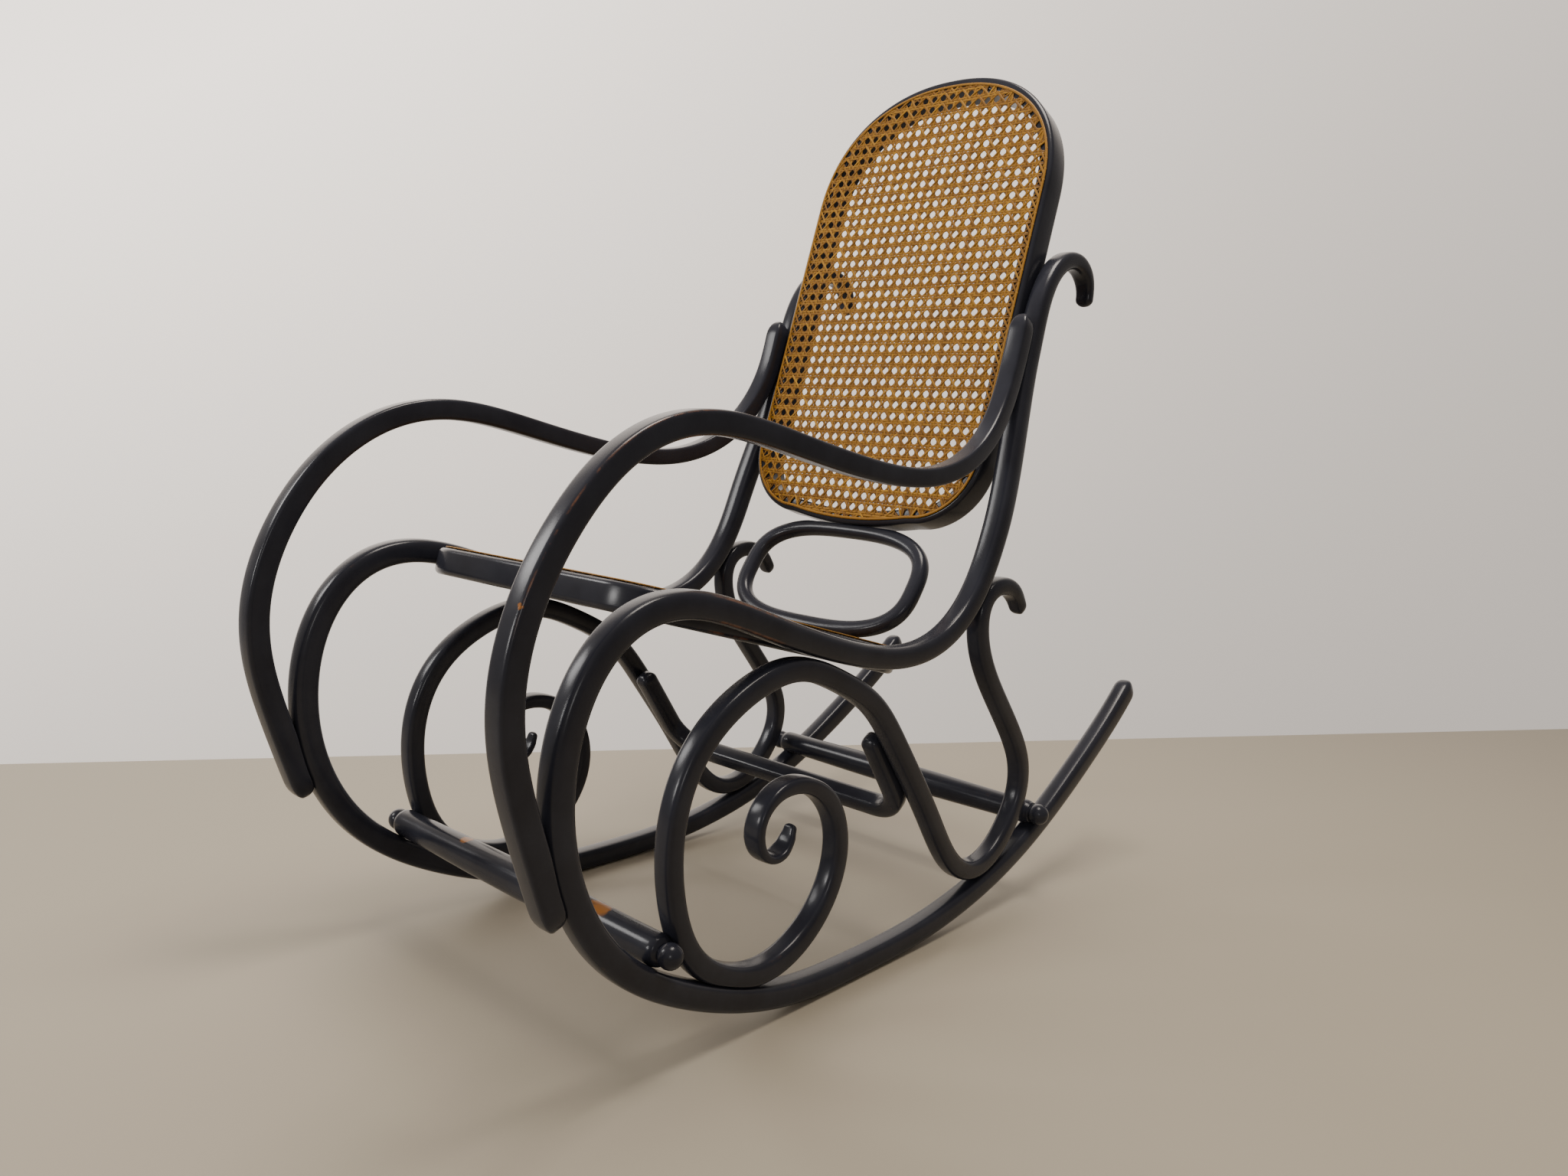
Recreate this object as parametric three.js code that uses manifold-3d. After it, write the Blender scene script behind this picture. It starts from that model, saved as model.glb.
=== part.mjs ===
// Bentwood rocking chair with caned seat and back.
// Millimetres, +Z up, the sitter faces -Y, and the sitter's left is +X.
// Each side is three long rods bent in one upright plane: a rail that is rocker, seat rail and
// back stile in one, a scroll inside it, and an armrest in front of it. Places in that plane are
// shares of the chair's length, counted from its front, and of the side height, counted from the floor.

import * as THREE from 'three';
import { mergeVertices } from 'three/addons/utils/BufferGeometryUtils.js';
import Module from 'manifold-3d';

const wasm = await Module();
wasm.setup();

// Driving dimensions
const chairLength = 1145;
const sideHeight = 1068;
const railSpacing = 430;

// Rod sizes, across the flats of a softened square
const railSize = 26;
const scrollSize = 24;
const armSize = 23.5;
const ringSize = 20.5;
const braceSize = 22;
const cornerShare = 0.44;

// Clearances between pieces that touch
const fitGap = 0.3;
const bendGap = 1;

// How deep the scroll is planed flat where its loop stands on the rail, and the armrest where its
// lower end lies against the rail, and how far to each side
const loopPlaning = 5;
const loopPlanedReach = 66;
const armPlaning = 5;
const armPlanedReach = 120;

// Flat worn on each rocker where the chair stands at rest
const standFlat = 44;
const standShare = 0.4595;

// Seat frame
const seatTilt = THREE.MathUtils.degToRad(13.1);
const seatDepth = 467;
const seatHeight = 444;
const seatFront = 176;
const seatRimWidth = 29;
const seatRimHeight = 29;
const seatFrontCorner = 78;
const seatRearCorner = 135;
const rimChamfer = 5;

// Back frame
const backLean = THREE.MathUtils.degToRad(15.2);
const backWidth = 372;
const backLength = 631;
const backRimWidth = 19;
const backRimDepth = 42;
const backArchRise = 177;
const backArchPower = 2.23;
const backCorner = 92;
const backBow = 9;
const backFootAlong = 684;
const backFootHeight = 483;

// Cane panels and the binding round them
const caneThickness = 1.8;
const caneInset = 9.6;
const bindingWidth = 3.6;
const bindingThickness = 2.4;
const bindingInset = 5.4;
const bindingSlopeShare = 0.25;
const backCanePitch = 34;
const seatCanePitch = 38;
const caneHoleShare = 0.56;

// Oval ring between seat and back: its size, how square its shoulders are, how far in front of the
// seat's rear edge its bottom bar stands, how deep under the back's foot its top bar lies, and how far
// both bars' centre lines stay from the faces that they are planed flat against
const ringWidth = 293;
const ringPower = 2.9;
const ringSetback = 14;
const ringDepthShare = 0.34;
const ringFootReach = 6.8;
const ringSeatReach = 9.5;

// Turned stretchers
const frontMiddle = 33;
const frontEnd = 27.5;
const frontKnob = 23;
const rearMiddle = 33.5;
const rearEnd = 29;
const rearKnob = 28;
const neckStand = 6;
const knobShare = 0.72;
const neckShare = 0.74;
const shoulderShare = 0.86;

// Brace under the seat
const braceCorner = 42;

// How finely the bends are faceted
const bendStep = THREE.MathUtils.degToRad(10);
const longestStep = 62;
const denseSteps = 900;

const woodColour = 0x2e2c2f;
const caneColour = 0xc08a3e;
const bindingColour = 0xcf9c4d;

const wood = () => new THREE.MeshStandardMaterial({ color: woodColour, roughness: 0.34, metalness: 0 });
const cane = () => new THREE.MeshStandardMaterial({ color: caneColour, roughness: 0.55, metalness: 0 });
const binding = () => new THREE.MeshStandardMaterial({ color: bindingColour, roughness: 0.5, metalness: 0 });

// Centre line of the rail, from the rocker's rear tip forward, up over the front scroll,
// back along the seat, up the stile and round the curl at its top.
const railShares = [
  [0.988, 0.235], [0.955, 0.206], [0.878, 0.151], [0.805, 0.105], [0.734, 0.068],
  [0.667, 0.043], [0.609, 0.028], [0.549, 0.018], [0.489, 0.0128], [0.431, 0.0122],
  [0.364, 0.0128], [0.306, 0.0203], [0.252, 0.0362], [0.197, 0.0597], [0.149, 0.088],
  [0.108, 0.123], [0.08, 0.166], [0.062, 0.212], [0.056, 0.256], [0.058, 0.298],
  [0.068, 0.337], [0.088, 0.371], [0.117, 0.395], [0.152, 0.404], [0.198, 0.399],
  [0.256, 0.381], [0.324, 0.359], [0.391, 0.341], [0.453, 0.333], [0.507, 0.338],
  [0.554, 0.362], [0.588, 0.4], [0.609, 0.446], [0.626, 0.496], [0.641, 0.545],
  [0.655, 0.594], [0.667, 0.642], [0.677, 0.69], [0.688, 0.728], [0.706, 0.761],
  [0.731, 0.781], [0.757, 0.785], [0.778, 0.776], [0.789, 0.759], [0.789, 0.746],
];

// Stretches of the scroll's centre line that hang free, in order from its small inner curl.
const curlShares = [
  [0.313, 0.182], [0.308, 0.169], [0.299, 0.161], [0.287, 0.159], [0.274, 0.167], [0.267, 0.183],
  [0.268, 0.2], [0.279, 0.215], [0.298, 0.224], [0.323, 0.223], [0.347, 0.212], [0.368, 0.19],
  [0.379, 0.162], [0.379, 0.132], [0.367, 0.1], [0.344, 0.074], [0.31, 0.055],
];
const loopShares = [
  [0.208, 0.082], [0.187, 0.112], [0.175, 0.146], [0.169, 0.177], [0.168, 0.208], [0.173, 0.238],
  [0.183, 0.265], [0.199, 0.288], [0.222, 0.308], [0.254, 0.325], [0.294, 0.336],
];
const diagonalShares = [
  [0.411, 0.294], [0.438, 0.269], [0.465, 0.236], [0.495, 0.198],
  [0.525, 0.157], [0.555, 0.115], [0.582, 0.083], [0.61, 0.065],
];
const rearShares = [
  [0.679, 0.082], [0.7, 0.104], [0.714, 0.131], [0.718, 0.16], [0.706, 0.19],
  [0.678, 0.23], [0.649, 0.264], [0.626, 0.292], [0.609, 0.32], [0.6, 0.345],
];
const rearCurlShares = [
  [0.627, 0.396], [0.647, 0.398], [0.665, 0.389], [0.678, 0.373],
];

// Free stretch of the armrest's centre line, from above its lower end to its dip at the back.
const armShares = [
  [0.024, 0.264], [0.014, 0.3], [0.01, 0.334], [0.012, 0.366], [0.019, 0.397], [0.031, 0.43],
  [0.047, 0.461], [0.067, 0.489], [0.091, 0.514], [0.118, 0.533], [0.148, 0.546], [0.18, 0.552],
  [0.214, 0.552], [0.25, 0.547], [0.287, 0.54], [0.369, 0.525], [0.416, 0.519], [0.466, 0.517],
  [0.515, 0.523], [0.557, 0.54], [0.588, 0.56], [0.611, 0.586], [0.627, 0.615],
];

// Where the other rods lie on the rail, as shares of the rail's own length.
const loopFootShare = 0.357;
const loopCrownShare = 0.66;
const valleyShare = 0.171;
const rearLeanShare = 0.783;
const armFootShares = [0.4605, 0.465, 0.4695];
const armRestShares = [0.894, 0.906, 0.917, 0.923];
const touchShare = 1.02;
const nearbyShare = 0.008;
const easeShare = 0.06;

// Size of the rail and the scroll along their length, as shares of the rod size.
const railSizeShares = [[0, 1.02], [0.12, 1.04], [0.3, 1.02], [0.44, 1.03], [0.6, 1.02], [0.72, 0.98],
  [0.84, 1.1], [0.91, 1.04], [0.95, 0.88], [1, 0.8]];
const scrollSizeShares = [[0, 0.66], [0.04, 0.78], [0.1, 0.95], [0.2, 1.03], [0.33, 0.94], [0.45, 1.01],
  [0.8, 1.02], [0.93, 0.98], [1, 0.86]];
const armSizeShares = [[0, 1.06], [0.3, 1], [0.6, 0.98], [0.75, 0.92], [0.9, 1.02], [1, 1.04]];

// Height span in which the stiles draw in to clasp the back frame, as shares of the chair height.
const drawInShares = [0.46, 0.66];

// Plane geometry of one side: y runs along the chair, z up.
const onSide = ([along, up]) => new THREE.Vector3(0, along * chairLength, up * sideHeight);
const smoothCurve = (points) => {
  const curve = new THREE.CatmullRomCurve3(points, false, 'centripetal');
  curve.arcLengthDivisions = denseSteps;
  return curve;
};
const stepAt = (table, share) => {
  let index = 1;
  while (index < table.length - 1 && table[index][0] < share) index += 1;
  const [from, low] = table[index - 1];
  const [to, high] = table[index];
  return THREE.MathUtils.lerp(low, high, THREE.MathUtils.smoothstep(share, from, to));
};
const inwardNormal = (tangent) => new THREE.Vector3(0, tangent.z, -tangent.y);

const railCurve = smoothCurve(railShares.map(onSide));
const railSizeAt = (share) => railSize * stepAt(railSizeShares, share);
const scrollSizeAt = (share) => scrollSize * stepAt(scrollSizeShares, share);
const armSizeAt = (share) => armSize * stepAt(armSizeShares, share);

// A point beside the rail: the rail's own half size, the other rod's half size and a gap away,
// on its scroll side (1) or its armrest side (-1).
const besideRail = (share, side, otherSize, extra = 0) => {
  const distance = railSizeAt(share) / 2 + otherSize / 2 + bendGap + extra;
  const normal = inwardNormal(railCurve.getTangentAt(share));
  return railCurve.getPointAt(share).addScaledVector(normal, side * distance);
};
const touching = (share, direction, steps = [-1, 0, 1], planed = 0) => steps.map((step) =>
  besideRail(share + direction * step * nearbyShare, 1, scrollSize * touchShare,
    Math.abs(step) * easeShare * scrollSize - planed));

const scrollCurve = smoothCurve([
  ...curlShares.map(onSide),
  ...touching(loopFootShare, 1, [-1, 0, 1], loopPlaning),
  ...loopShares.map(onSide),
  ...touching(loopCrownShare, 1, [0, 1]),
  ...diagonalShares.map(onSide),
  ...touching(valleyShare, -1),
  ...rearShares.map(onSide),
  ...touching(rearLeanShare, 1, [0, 1]),
  ...rearCurlShares.map(onSide),
]);
const scrollPoints = scrollCurve.getSpacedPoints(denseSteps);
const loopFoot = besideRail(loopFootShare, 1, scrollSize * touchShare, -loopPlaning);
const planingNear = (place, planing, reach) => (point) => {
  const away = point.distanceTo(place) / reach;
  return planing * Math.max(0, 1 - away * away);
};
const armCurve = smoothCurve([
  ...armFootShares.map((share) => besideRail(share, -1, armSizeAt(0), -armPlaning)),
  ...armShares.map(onSide),
  ...armRestShares.map((share) => besideRail(share, -1, armSizeAt(1))),
]);

const scrollPlaned = { side: -1, depthAt: planingNear(loopFoot, loopPlaning, loopPlanedReach) };
const armPlaned = { side: 1, depthAt: planingNear(armCurve.getPointAt(0), armPlaning, armPlanedReach) };

// The side plane stands at half the rail spacing, and draws in towards the back frame above.
const railX = railSpacing / 2;
const claspX = backWidth / 2 + fitGap + railSizeAt(armRestShares[1]) / 2;
const sideX = (height) => {
  const [from, to] = drawInShares;
  const share = height / sideHeight;
  return THREE.MathUtils.lerp(railX, claspX, THREE.MathUtils.smoothstep(share, from, to));
};

// Stations along a rod: close together in tight bends and far apart on straight runs.
const stations = (curve) => {
  const kept = [0];
  let last = curve.getTangentAt(0);
  let travelled = 0;
  const length = curve.getLength();
  for (let index = 1; index < denseSteps; index += 1) {
    const share = index / denseSteps;
    const tangent = curve.getTangentAt(share);
    travelled += length / denseSteps;
    if (tangent.angleTo(last) >= bendStep || travelled >= longestStep) {
      kept.push(share);
      last = tangent;
      travelled = 0;
    }
  }
  kept.push(1);
  return kept;
};

// One outline of the softened square, as eight corners, of the given size across and through.
const softSquare = (across, through, corner) => {
  const a = across / 2;
  const b = through / 2;
  return [[a, b - corner], [a - corner, b], [corner - a, b], [-a, b - corner],
    [-a, corner - b], [corner - a, -b], [a - corner, -b], [a, corner - b]];
};

// Joins rings of corners into one closed skin, as an open rod with end faces or as a hoop.
const loft = (rings, isHoop) => {
  const corners = rings[0].length;
  const positions = [];
  const faces = [];
  rings.forEach((ring) => ring.forEach((point) => positions.push(point.x, point.y, point.z)));
  const spans = isHoop ? rings.length : rings.length - 1;
  for (let ring = 0; ring < spans; ring += 1) {
    for (let corner = 0; corner < corners; corner += 1) {
      const a = ring * corners + corner;
      const b = ring * corners + (corner + 1) % corners;
      const next = ((ring + 1) % rings.length) * corners;
      const c = next + (corner + 1) % corners;
      const d = next + corner;
      faces.push(a, b, c, a, c, d);
    }
  }
  if (!isHoop) {
    const top = (rings.length - 1) * corners;
    for (let corner = 1; corner < corners - 1; corner += 1) {
      faces.push(0, corner + 1, corner);
      faces.push(top, top + corner, top + corner + 1);
    }
  }
  const geometry = new THREE.BufferGeometry();
  geometry.setAttribute('position', new THREE.Float32BufferAttribute(positions, 3));
  geometry.setIndex(faces);
  return facingOut(geometry);
};

// Turns a skin inside out if its faces point in.
const facingOut = (geometry) => {
  const place = geometry.attributes.position;
  const index = geometry.index.array;
  const [p, q, r] = [new THREE.Vector3(), new THREE.Vector3(), new THREE.Vector3()];
  let volume = 0;
  for (let face = 0; face < index.length; face += 3) {
    p.fromBufferAttribute(place, index[face]);
    q.fromBufferAttribute(place, index[face + 1]);
    r.fromBufferAttribute(place, index[face + 2]);
    volume += p.dot(q.clone().cross(r));
  }
  if (volume < 0) {
    for (let face = 0; face < index.length; face += 3) {
      const kept = index[face + 1];
      index[face + 1] = index[face + 2];
      index[face + 2] = kept;
    }
  }
  geometry.computeVertexNormals();
  return geometry;
};

// Rounds a rod's end: stations beyond its centre line's end, with the share of size left at each.
const tipShares = [[0.35, 0.94], [0.68, 0.74], [0.9, 0.46]];
const tipRings = (point, tangent, size, outward, outlineAt) => tipShares.map(([reach, left]) => {
  const centre = point.clone().addScaledVector(tangent, outward * reach * size / 2);
  return ringAt(centre, inwardNormal(tangent), outlineAt(left));
});
const ringAt = (centre, normal, outline) => outline.map(([n, x]) =>
  centre.clone().addScaledVector(normal, n).add(new THREE.Vector3(x, 0, 0)));

// A bent rod of one side, swept along its centre line, with rounded ends.
const bentRod = (curve, sizeAt, side, { stand = null, planed = null } = {}) => {
  const middle = (share) => {
    const point = curve.getPointAt(share);
    point.x = side * sideX(point.z);
    return point;
  };
  const outlineAt = (share, left = 1) => {
    const size = sizeAt(share);
    const full = softSquare(size * left, size * left, cornerShare * left * size / 2);
    if (!planed) return full;
    const limit = size / 2 - planed.depthAt(curve.getPointAt(share));
    return full.map(([n, x]) => [planed.side * Math.min(planed.side * n, limit), x]);
  };
  const rings = stations(curve).map((share) => {
    const normal = inwardNormal(curve.getTangentAt(share));
    return { share, ring: ringAt(middle(share), normal, outlineAt(share)) };
  });
  if (stand) {
    const isClear = ({ share }) => Math.abs(share - stand.share) * curve.getLength() > stand.length;
    const kept = rings.filter(isClear);
    const up = new THREE.Vector3(0, 0, 1);
    [-1, 1].forEach((end) => {
      const point = stand.point.clone();
      point.x = side * sideX(point.z);
      point.y -= end * stand.length / 2;
      const share = stand.share + end * stand.length / 2 / curve.getLength();
      kept.push({ share, ring: ringAt(point, up, outlineAt(stand.share)) });
    });
    kept.sort((one, other) => one.share - other.share);
    rings.splice(0, rings.length, ...kept);
  }
  const tipAt = (share, outward) => tipRings(middle(share), curve.getTangentAt(share), sizeAt(share),
    outward, (left) => outlineAt(share, left));
  return loft([...tipAt(0, -1).reverse(), ...rings.map(({ ring }) => ring), ...tipAt(1, 1)], false);
};

// A hoop: a rim of the given section carried round a flat outline. Outline points and their
// outward directions are in the frame's own plane; the frame places them in the chair.
const hoop = (outline, section, place) => loft(outline.map(({ u, v, nu, nv }) =>
  section.map(([out, deep]) => place(u + nu * out, v + nv * out, deep))), true);

// Points round an arc, each with its outward direction. A power above 2 squares the arc's shoulders.
const cornerTurns = 7;
const raised = (value, power) => Math.sign(value) * Math.abs(value) ** power;
const arcPoints = (centreU, centreV, radiusU, radiusV, from, to, turns, power = 2) => {
  const points = [];
  for (let step = 0; step <= turns; step += 1) {
    const angle = THREE.MathUtils.lerp(from, to, step / turns);
    const [across, along] = [Math.cos(angle), Math.sin(angle)];
    const normal = new THREE.Vector2(
      raised(across, 2 - 2 / power) / radiusU,
      raised(along, 2 - 2 / power) / radiusV,
    ).normalize();
    points.push({
      u: centreU + radiusU * raised(across, 2 / power),
      v: centreV + radiusV * raised(along, 2 / power),
      nu: normal.x,
      nv: normal.y,
    });
  }
  return points;
};

// Outline of the seat: straight sides, rounded front and rear corners.
const seatWidth = railSpacing - railSize * touchShare - 2 * fitGap;
const seatOutline = () => {
  const half = seatWidth / 2;
  const quarter = Math.PI / 2;
  return [
    ...arcPoints(half - seatFrontCorner, seatFrontCorner, seatFrontCorner, seatFrontCorner,
      -quarter, 0, cornerTurns),
    ...arcPoints(half - seatRearCorner, seatDepth - seatRearCorner, seatRearCorner, seatRearCorner,
      0, quarter, cornerTurns),
    ...arcPoints(seatRearCorner - half, seatDepth - seatRearCorner, seatRearCorner, seatRearCorner,
      quarter, 2 * quarter, cornerTurns),
    ...arcPoints(seatFrontCorner - half, seatFrontCorner, seatFrontCorner, seatFrontCorner,
      2 * quarter, 3 * quarter, cornerTurns),
  ];
};

// Outline of the back frame: an arched top, straight sides and a slightly bowed foot.
const archTurns = 18;
const bowTurns = 4;
const backOutline = () => {
  const half = backWidth / 2;
  const bowHalf = half - backCorner;
  const bowRadius = (bowHalf * bowHalf + backBow * backBow) / (2 * backBow);
  const bowAngle = Math.asin(bowHalf / bowRadius);
  const quarter = Math.PI / 2;
  return [
    ...arcPoints(0, backLength - backArchRise, half, backArchRise, 0, 2 * quarter, archTurns, backArchPower),
    ...arcPoints(backCorner - half, backCorner + backBow, backCorner, backCorner,
      2 * quarter, 3 * quarter - bowAngle, cornerTurns),
    ...arcPoints(0, bowRadius, bowRadius, bowRadius, 3 * quarter - bowAngle, 3 * quarter + bowAngle, bowTurns)
      .slice(1, -1),
    ...arcPoints(half - backCorner, backCorner + backBow, backCorner, backCorner,
      3 * quarter + bowAngle, 4 * quarter, cornerTurns),
  ];
};

// Seat plane: u across, v from the front edge rearward, depth down from the top face.
const seatPlace = (u, v, deep) => new THREE.Vector3(
  u,
  seatFront + v * Math.cos(seatTilt) - deep * Math.sin(seatTilt),
  seatHeight - v * Math.sin(seatTilt) - deep * Math.cos(seatTilt),
);
// Back plane: u across, v from the foot upward, depth rearward from the front face.
const backPlace = (u, v, deep) => new THREE.Vector3(
  u,
  backFootAlong + v * Math.sin(backLean) + deep * Math.cos(backLean),
  backFootHeight + v * Math.cos(backLean) - deep * Math.sin(backLean),
);

// Rim section: flat faces and chamfered edges, its outer side on the outline, its depth from 0 down.
const rimSection = (width, depth) => [[0, rimChamfer], [-rimChamfer, 0], [rimChamfer - width, 0],
  [-width, rimChamfer], [-width, depth - rimChamfer], [rimChamfer - width, depth], [-rimChamfer, depth],
  [0, depth - rimChamfer]];
// Binding section: a low strip that stands on the frame's face.
const bindingSection = () => {
  const inner = -bindingInset - bindingWidth;
  const crown = bindingWidth * bindingSlopeShare;
  return [[-bindingInset, -fitGap], [-bindingInset - crown, -bindingThickness],
    [inner + crown, -bindingThickness], [inner, -fitGap]];
};

// Cane panel: a thin sheet pierced by a lattice of openings that keep clear of its edge.
const insetOutline = (outline, inset) => outline.map(({ u, v, nu, nv }) =>
  new THREE.Vector2(u - nu * inset, v - nv * inset));
const isInside = (points, x, y) => {
  let inside = false;
  points.forEach((point, index) => {
    const other = points[(index + points.length - 1) % points.length];
    const crosses = (point.y > y) !== (other.y > y);
    if (crosses && x < (other.x - point.x) * (y - point.y) / (other.y - point.y) + point.x) inside = !inside;
  });
  return inside;
};
const canePanel = (outline, rimWidth, pitch, place) => {
  const edge = insetOutline(outline, caneInset);
  const open = insetOutline(outline, rimWidth);
  const half = pitch * caneHoleShare / 2;
  const [low, high] = [1, -1].map((sign) => new THREE.Vector2(
    sign * Math.min(...open.map(({ x }) => sign * x)),
    sign * Math.min(...open.map(({ y }) => sign * y)),
  ));
  const columns = Math.floor((high.x - low.x) / pitch);
  const rows = Math.floor((high.y - low.y) / pitch);
  const openings = [];
  for (let row = 0; row < rows; row += 1) {
    for (let column = 0; column < columns; column += 1) {
      const x = (low.x + high.x) / 2 + (column - (columns - 1) / 2) * pitch;
      const y = (low.y + high.y) / 2 + (row - (rows - 1) / 2) * pitch;
      const corners = [[-half, -half], [half, -half], [half, half], [-half, half]];
      if (corners.every(([dx, dy]) => isInside(open, x + dx, y + dy))) {
        const block = new THREE.BoxGeometry(2 * half, 2 * half, 3 * caneThickness);
        block.translate(x, y, caneThickness / 2);
        openings.push(block);
      }
    }
  }
  const thickness = { depth: caneThickness, bevelEnabled: false };
  const sheet = new THREE.ExtrudeGeometry(new THREE.Shape(edge), thickness);
  const flat = cutAway(sheet, openings);
  const spots = flat.attributes.position;
  for (let index = 0; index < spots.count; index += 1) {
    const spot = place(spots.getX(index), spots.getY(index), -fitGap - spots.getZ(index));
    spots.setXYZ(index, spot.x, spot.y, spot.z);
  }
  return facingOut(flat);
};

// One solid less some others.
const solidOf = (geometry) => {
  const closed = geometry.index && !geometry.attributes.uv ? geometry : onlyPlaces(geometry);
  return new wasm.Manifold(new wasm.Mesh({
    numProp: 3,
    vertProperties: new Float32Array(closed.attributes.position.array),
    triVerts: new Uint32Array(closed.index.array),
  }));
};
const cutAway = (geometry, cutters) => {
  const whole = cutters.reduce((left, cutter) => left.subtract(solidOf(cutter)), solidOf(geometry));
  const mesh = whole.getMesh();
  const result = new THREE.BufferGeometry();
  result.setAttribute('position', new THREE.Float32BufferAttribute(mesh.vertProperties, 3));
  result.setIndex(Array.from(mesh.triVerts));
  return facingOut(result);
};
const onlyPlaces = (geometry) => {
  geometry.deleteAttribute('normal');
  geometry.deleteAttribute('uv');
  return mergeVertices(geometry);
};

// Turned stretcher: a bar that swells in the middle, rounds in at both rails and ends in knobs.
const turnedSides = 12;
const swellSteps = 4;
const knobSteps = 4;
const stretcher = (centre, middle, end, knob) => {
  const neck = railX + neckStand;
  const knobCentre = neck + knob / 2 * knobShare;
  const profile = [];
  for (let step = 0; step <= knobSteps; step += 1) {
    const angle = (step / (knobSteps + 1)) * Math.PI;
    profile.push([knob / 2 * Math.sin(angle), knobCentre + knob / 2 * Math.cos(angle)]);
  }
  profile.push([knob / 2 * neckShare, neck]);
  profile.push([end / 2 * shoulderShare, neck - neckStand / 2]);
  profile.push([end / 2, railX - neckStand / 2]);
  const barHalf = railX - railSize / 2;
  for (let step = 0; step <= swellSteps; step += 1) {
    const share = step / swellSteps;
    const swell = 1 - share * share;
    const size = THREE.MathUtils.lerp(end, middle, 1 - swell * swell);
    profile.push([size / 2, barHalf * (1 - share)]);
  }
  const half = profile.map(([radius, reach]) => new THREE.Vector2(radius, reach));
  const mirrored = half.slice(0, -1).reverse().map(({ x, y }) => new THREE.Vector2(x, -y));
  mirrored[mirrored.length - 1].x = 0;
  const turned = onlyPlaces(new THREE.LatheGeometry([...half, ...mirrored].reverse(), turnedSides));
  turned.rotateZ(-Math.PI / 2);
  turned.translate(0, centre.y, centre.z);
  return facingOut(turned);
};

// The place between two rods where a bar touches both, found by stepping from a first guess.
const nestSteps = 30;
const nestBetween = (guess, first, second) => {
  const place = guess.clone();
  for (let step = 0; step < nestSteps; step += 1) {
    const [one, other] = [first, second].map(({ points, distance }) => {
      let nearest = points[0];
      points.forEach((point) => {
        if (point.distanceTo(place) < nearest.distanceTo(place)) nearest = point;
      });
      const away = place.clone().sub(nearest);
      return { direction: away.clone().normalize(), miss: distance - away.length() };
    });
    const across = one.direction.y * other.direction.z - one.direction.z * other.direction.y;
    place.y += (one.miss * other.direction.z - other.miss * one.direction.z) / across;
    place.z += (other.miss * one.direction.y - one.miss * other.direction.y) / across;
  }
  return place;
};
const railPoints = railCurve.getSpacedPoints(denseSteps);
const frontGuessShares = [0.157, 0.122];
const frontRestShare = 0.42;
const frontScrollShare = 0.33;
const frontSeat = () => nestBetween(
  onSide(frontGuessShares),
  { points: railPoints, distance: railSizeAt(frontRestShare) / 2 + frontEnd / 2 + bendGap + fitGap },
  { points: scrollPoints, distance: scrollSizeAt(frontScrollShare) / 2 + frontEnd / 2 + fitGap },
);
const rearRestShare = 0.122;
const rearSeat = () => besideRail(rearRestShare, 1, rearEnd);

// Oval ring: its top bar is planed flat against the back frame's foot, and its bottom bar against
// the strand that covers the seat's rear edge.
const ringTurns = 28;
const ovalRing = () => {
  const top = backPlace(0, -ringFootReach, backRimDepth * ringDepthShare);
  const bottom = seatPlace(0, seatDepth - ringSetback, -ringSeatReach - bindingThickness);
  const upward = top.clone().sub(bottom).normalize();
  const rearward = new THREE.Vector3(0, upward.z, -upward.y);
  const centre = top.clone().add(bottom).multiplyScalar(0.5);
  const place = (u, v, deep) => centre.clone().addScaledVector(upward, v).addScaledVector(rearward, deep)
    .add(new THREE.Vector3(u, 0, 0));
  const across = (ringWidth - ringSize) / 2;
  const along = top.distanceTo(bottom) / 2;
  const outline = arcPoints(0, 0, across, along, 0, 2 * Math.PI, ringTurns, ringPower).slice(0, -1);
  const round = hoop(outline, softSquare(ringSize, ringSize, cornerShare * ringSize / 2), place);
  const blocks = [[backLean, backPlace(0, -fitGap, backRimDepth * ringDepthShare), 1],
    [seatTilt, seatPlace(0, seatDepth - ringSetback, -fitGap - bindingThickness), -1]];
  return cutAway(round, blocks.map(([lean, face, outward]) => {
    const block = new THREE.BoxGeometry(ringWidth, 3 * ringSize, ringSize);
    block.translate(0, 0, outward * ringSize / 2);
    block.rotateX(-lean);
    return block.translate(face.x, face.y, face.z);
  }));
};

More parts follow.
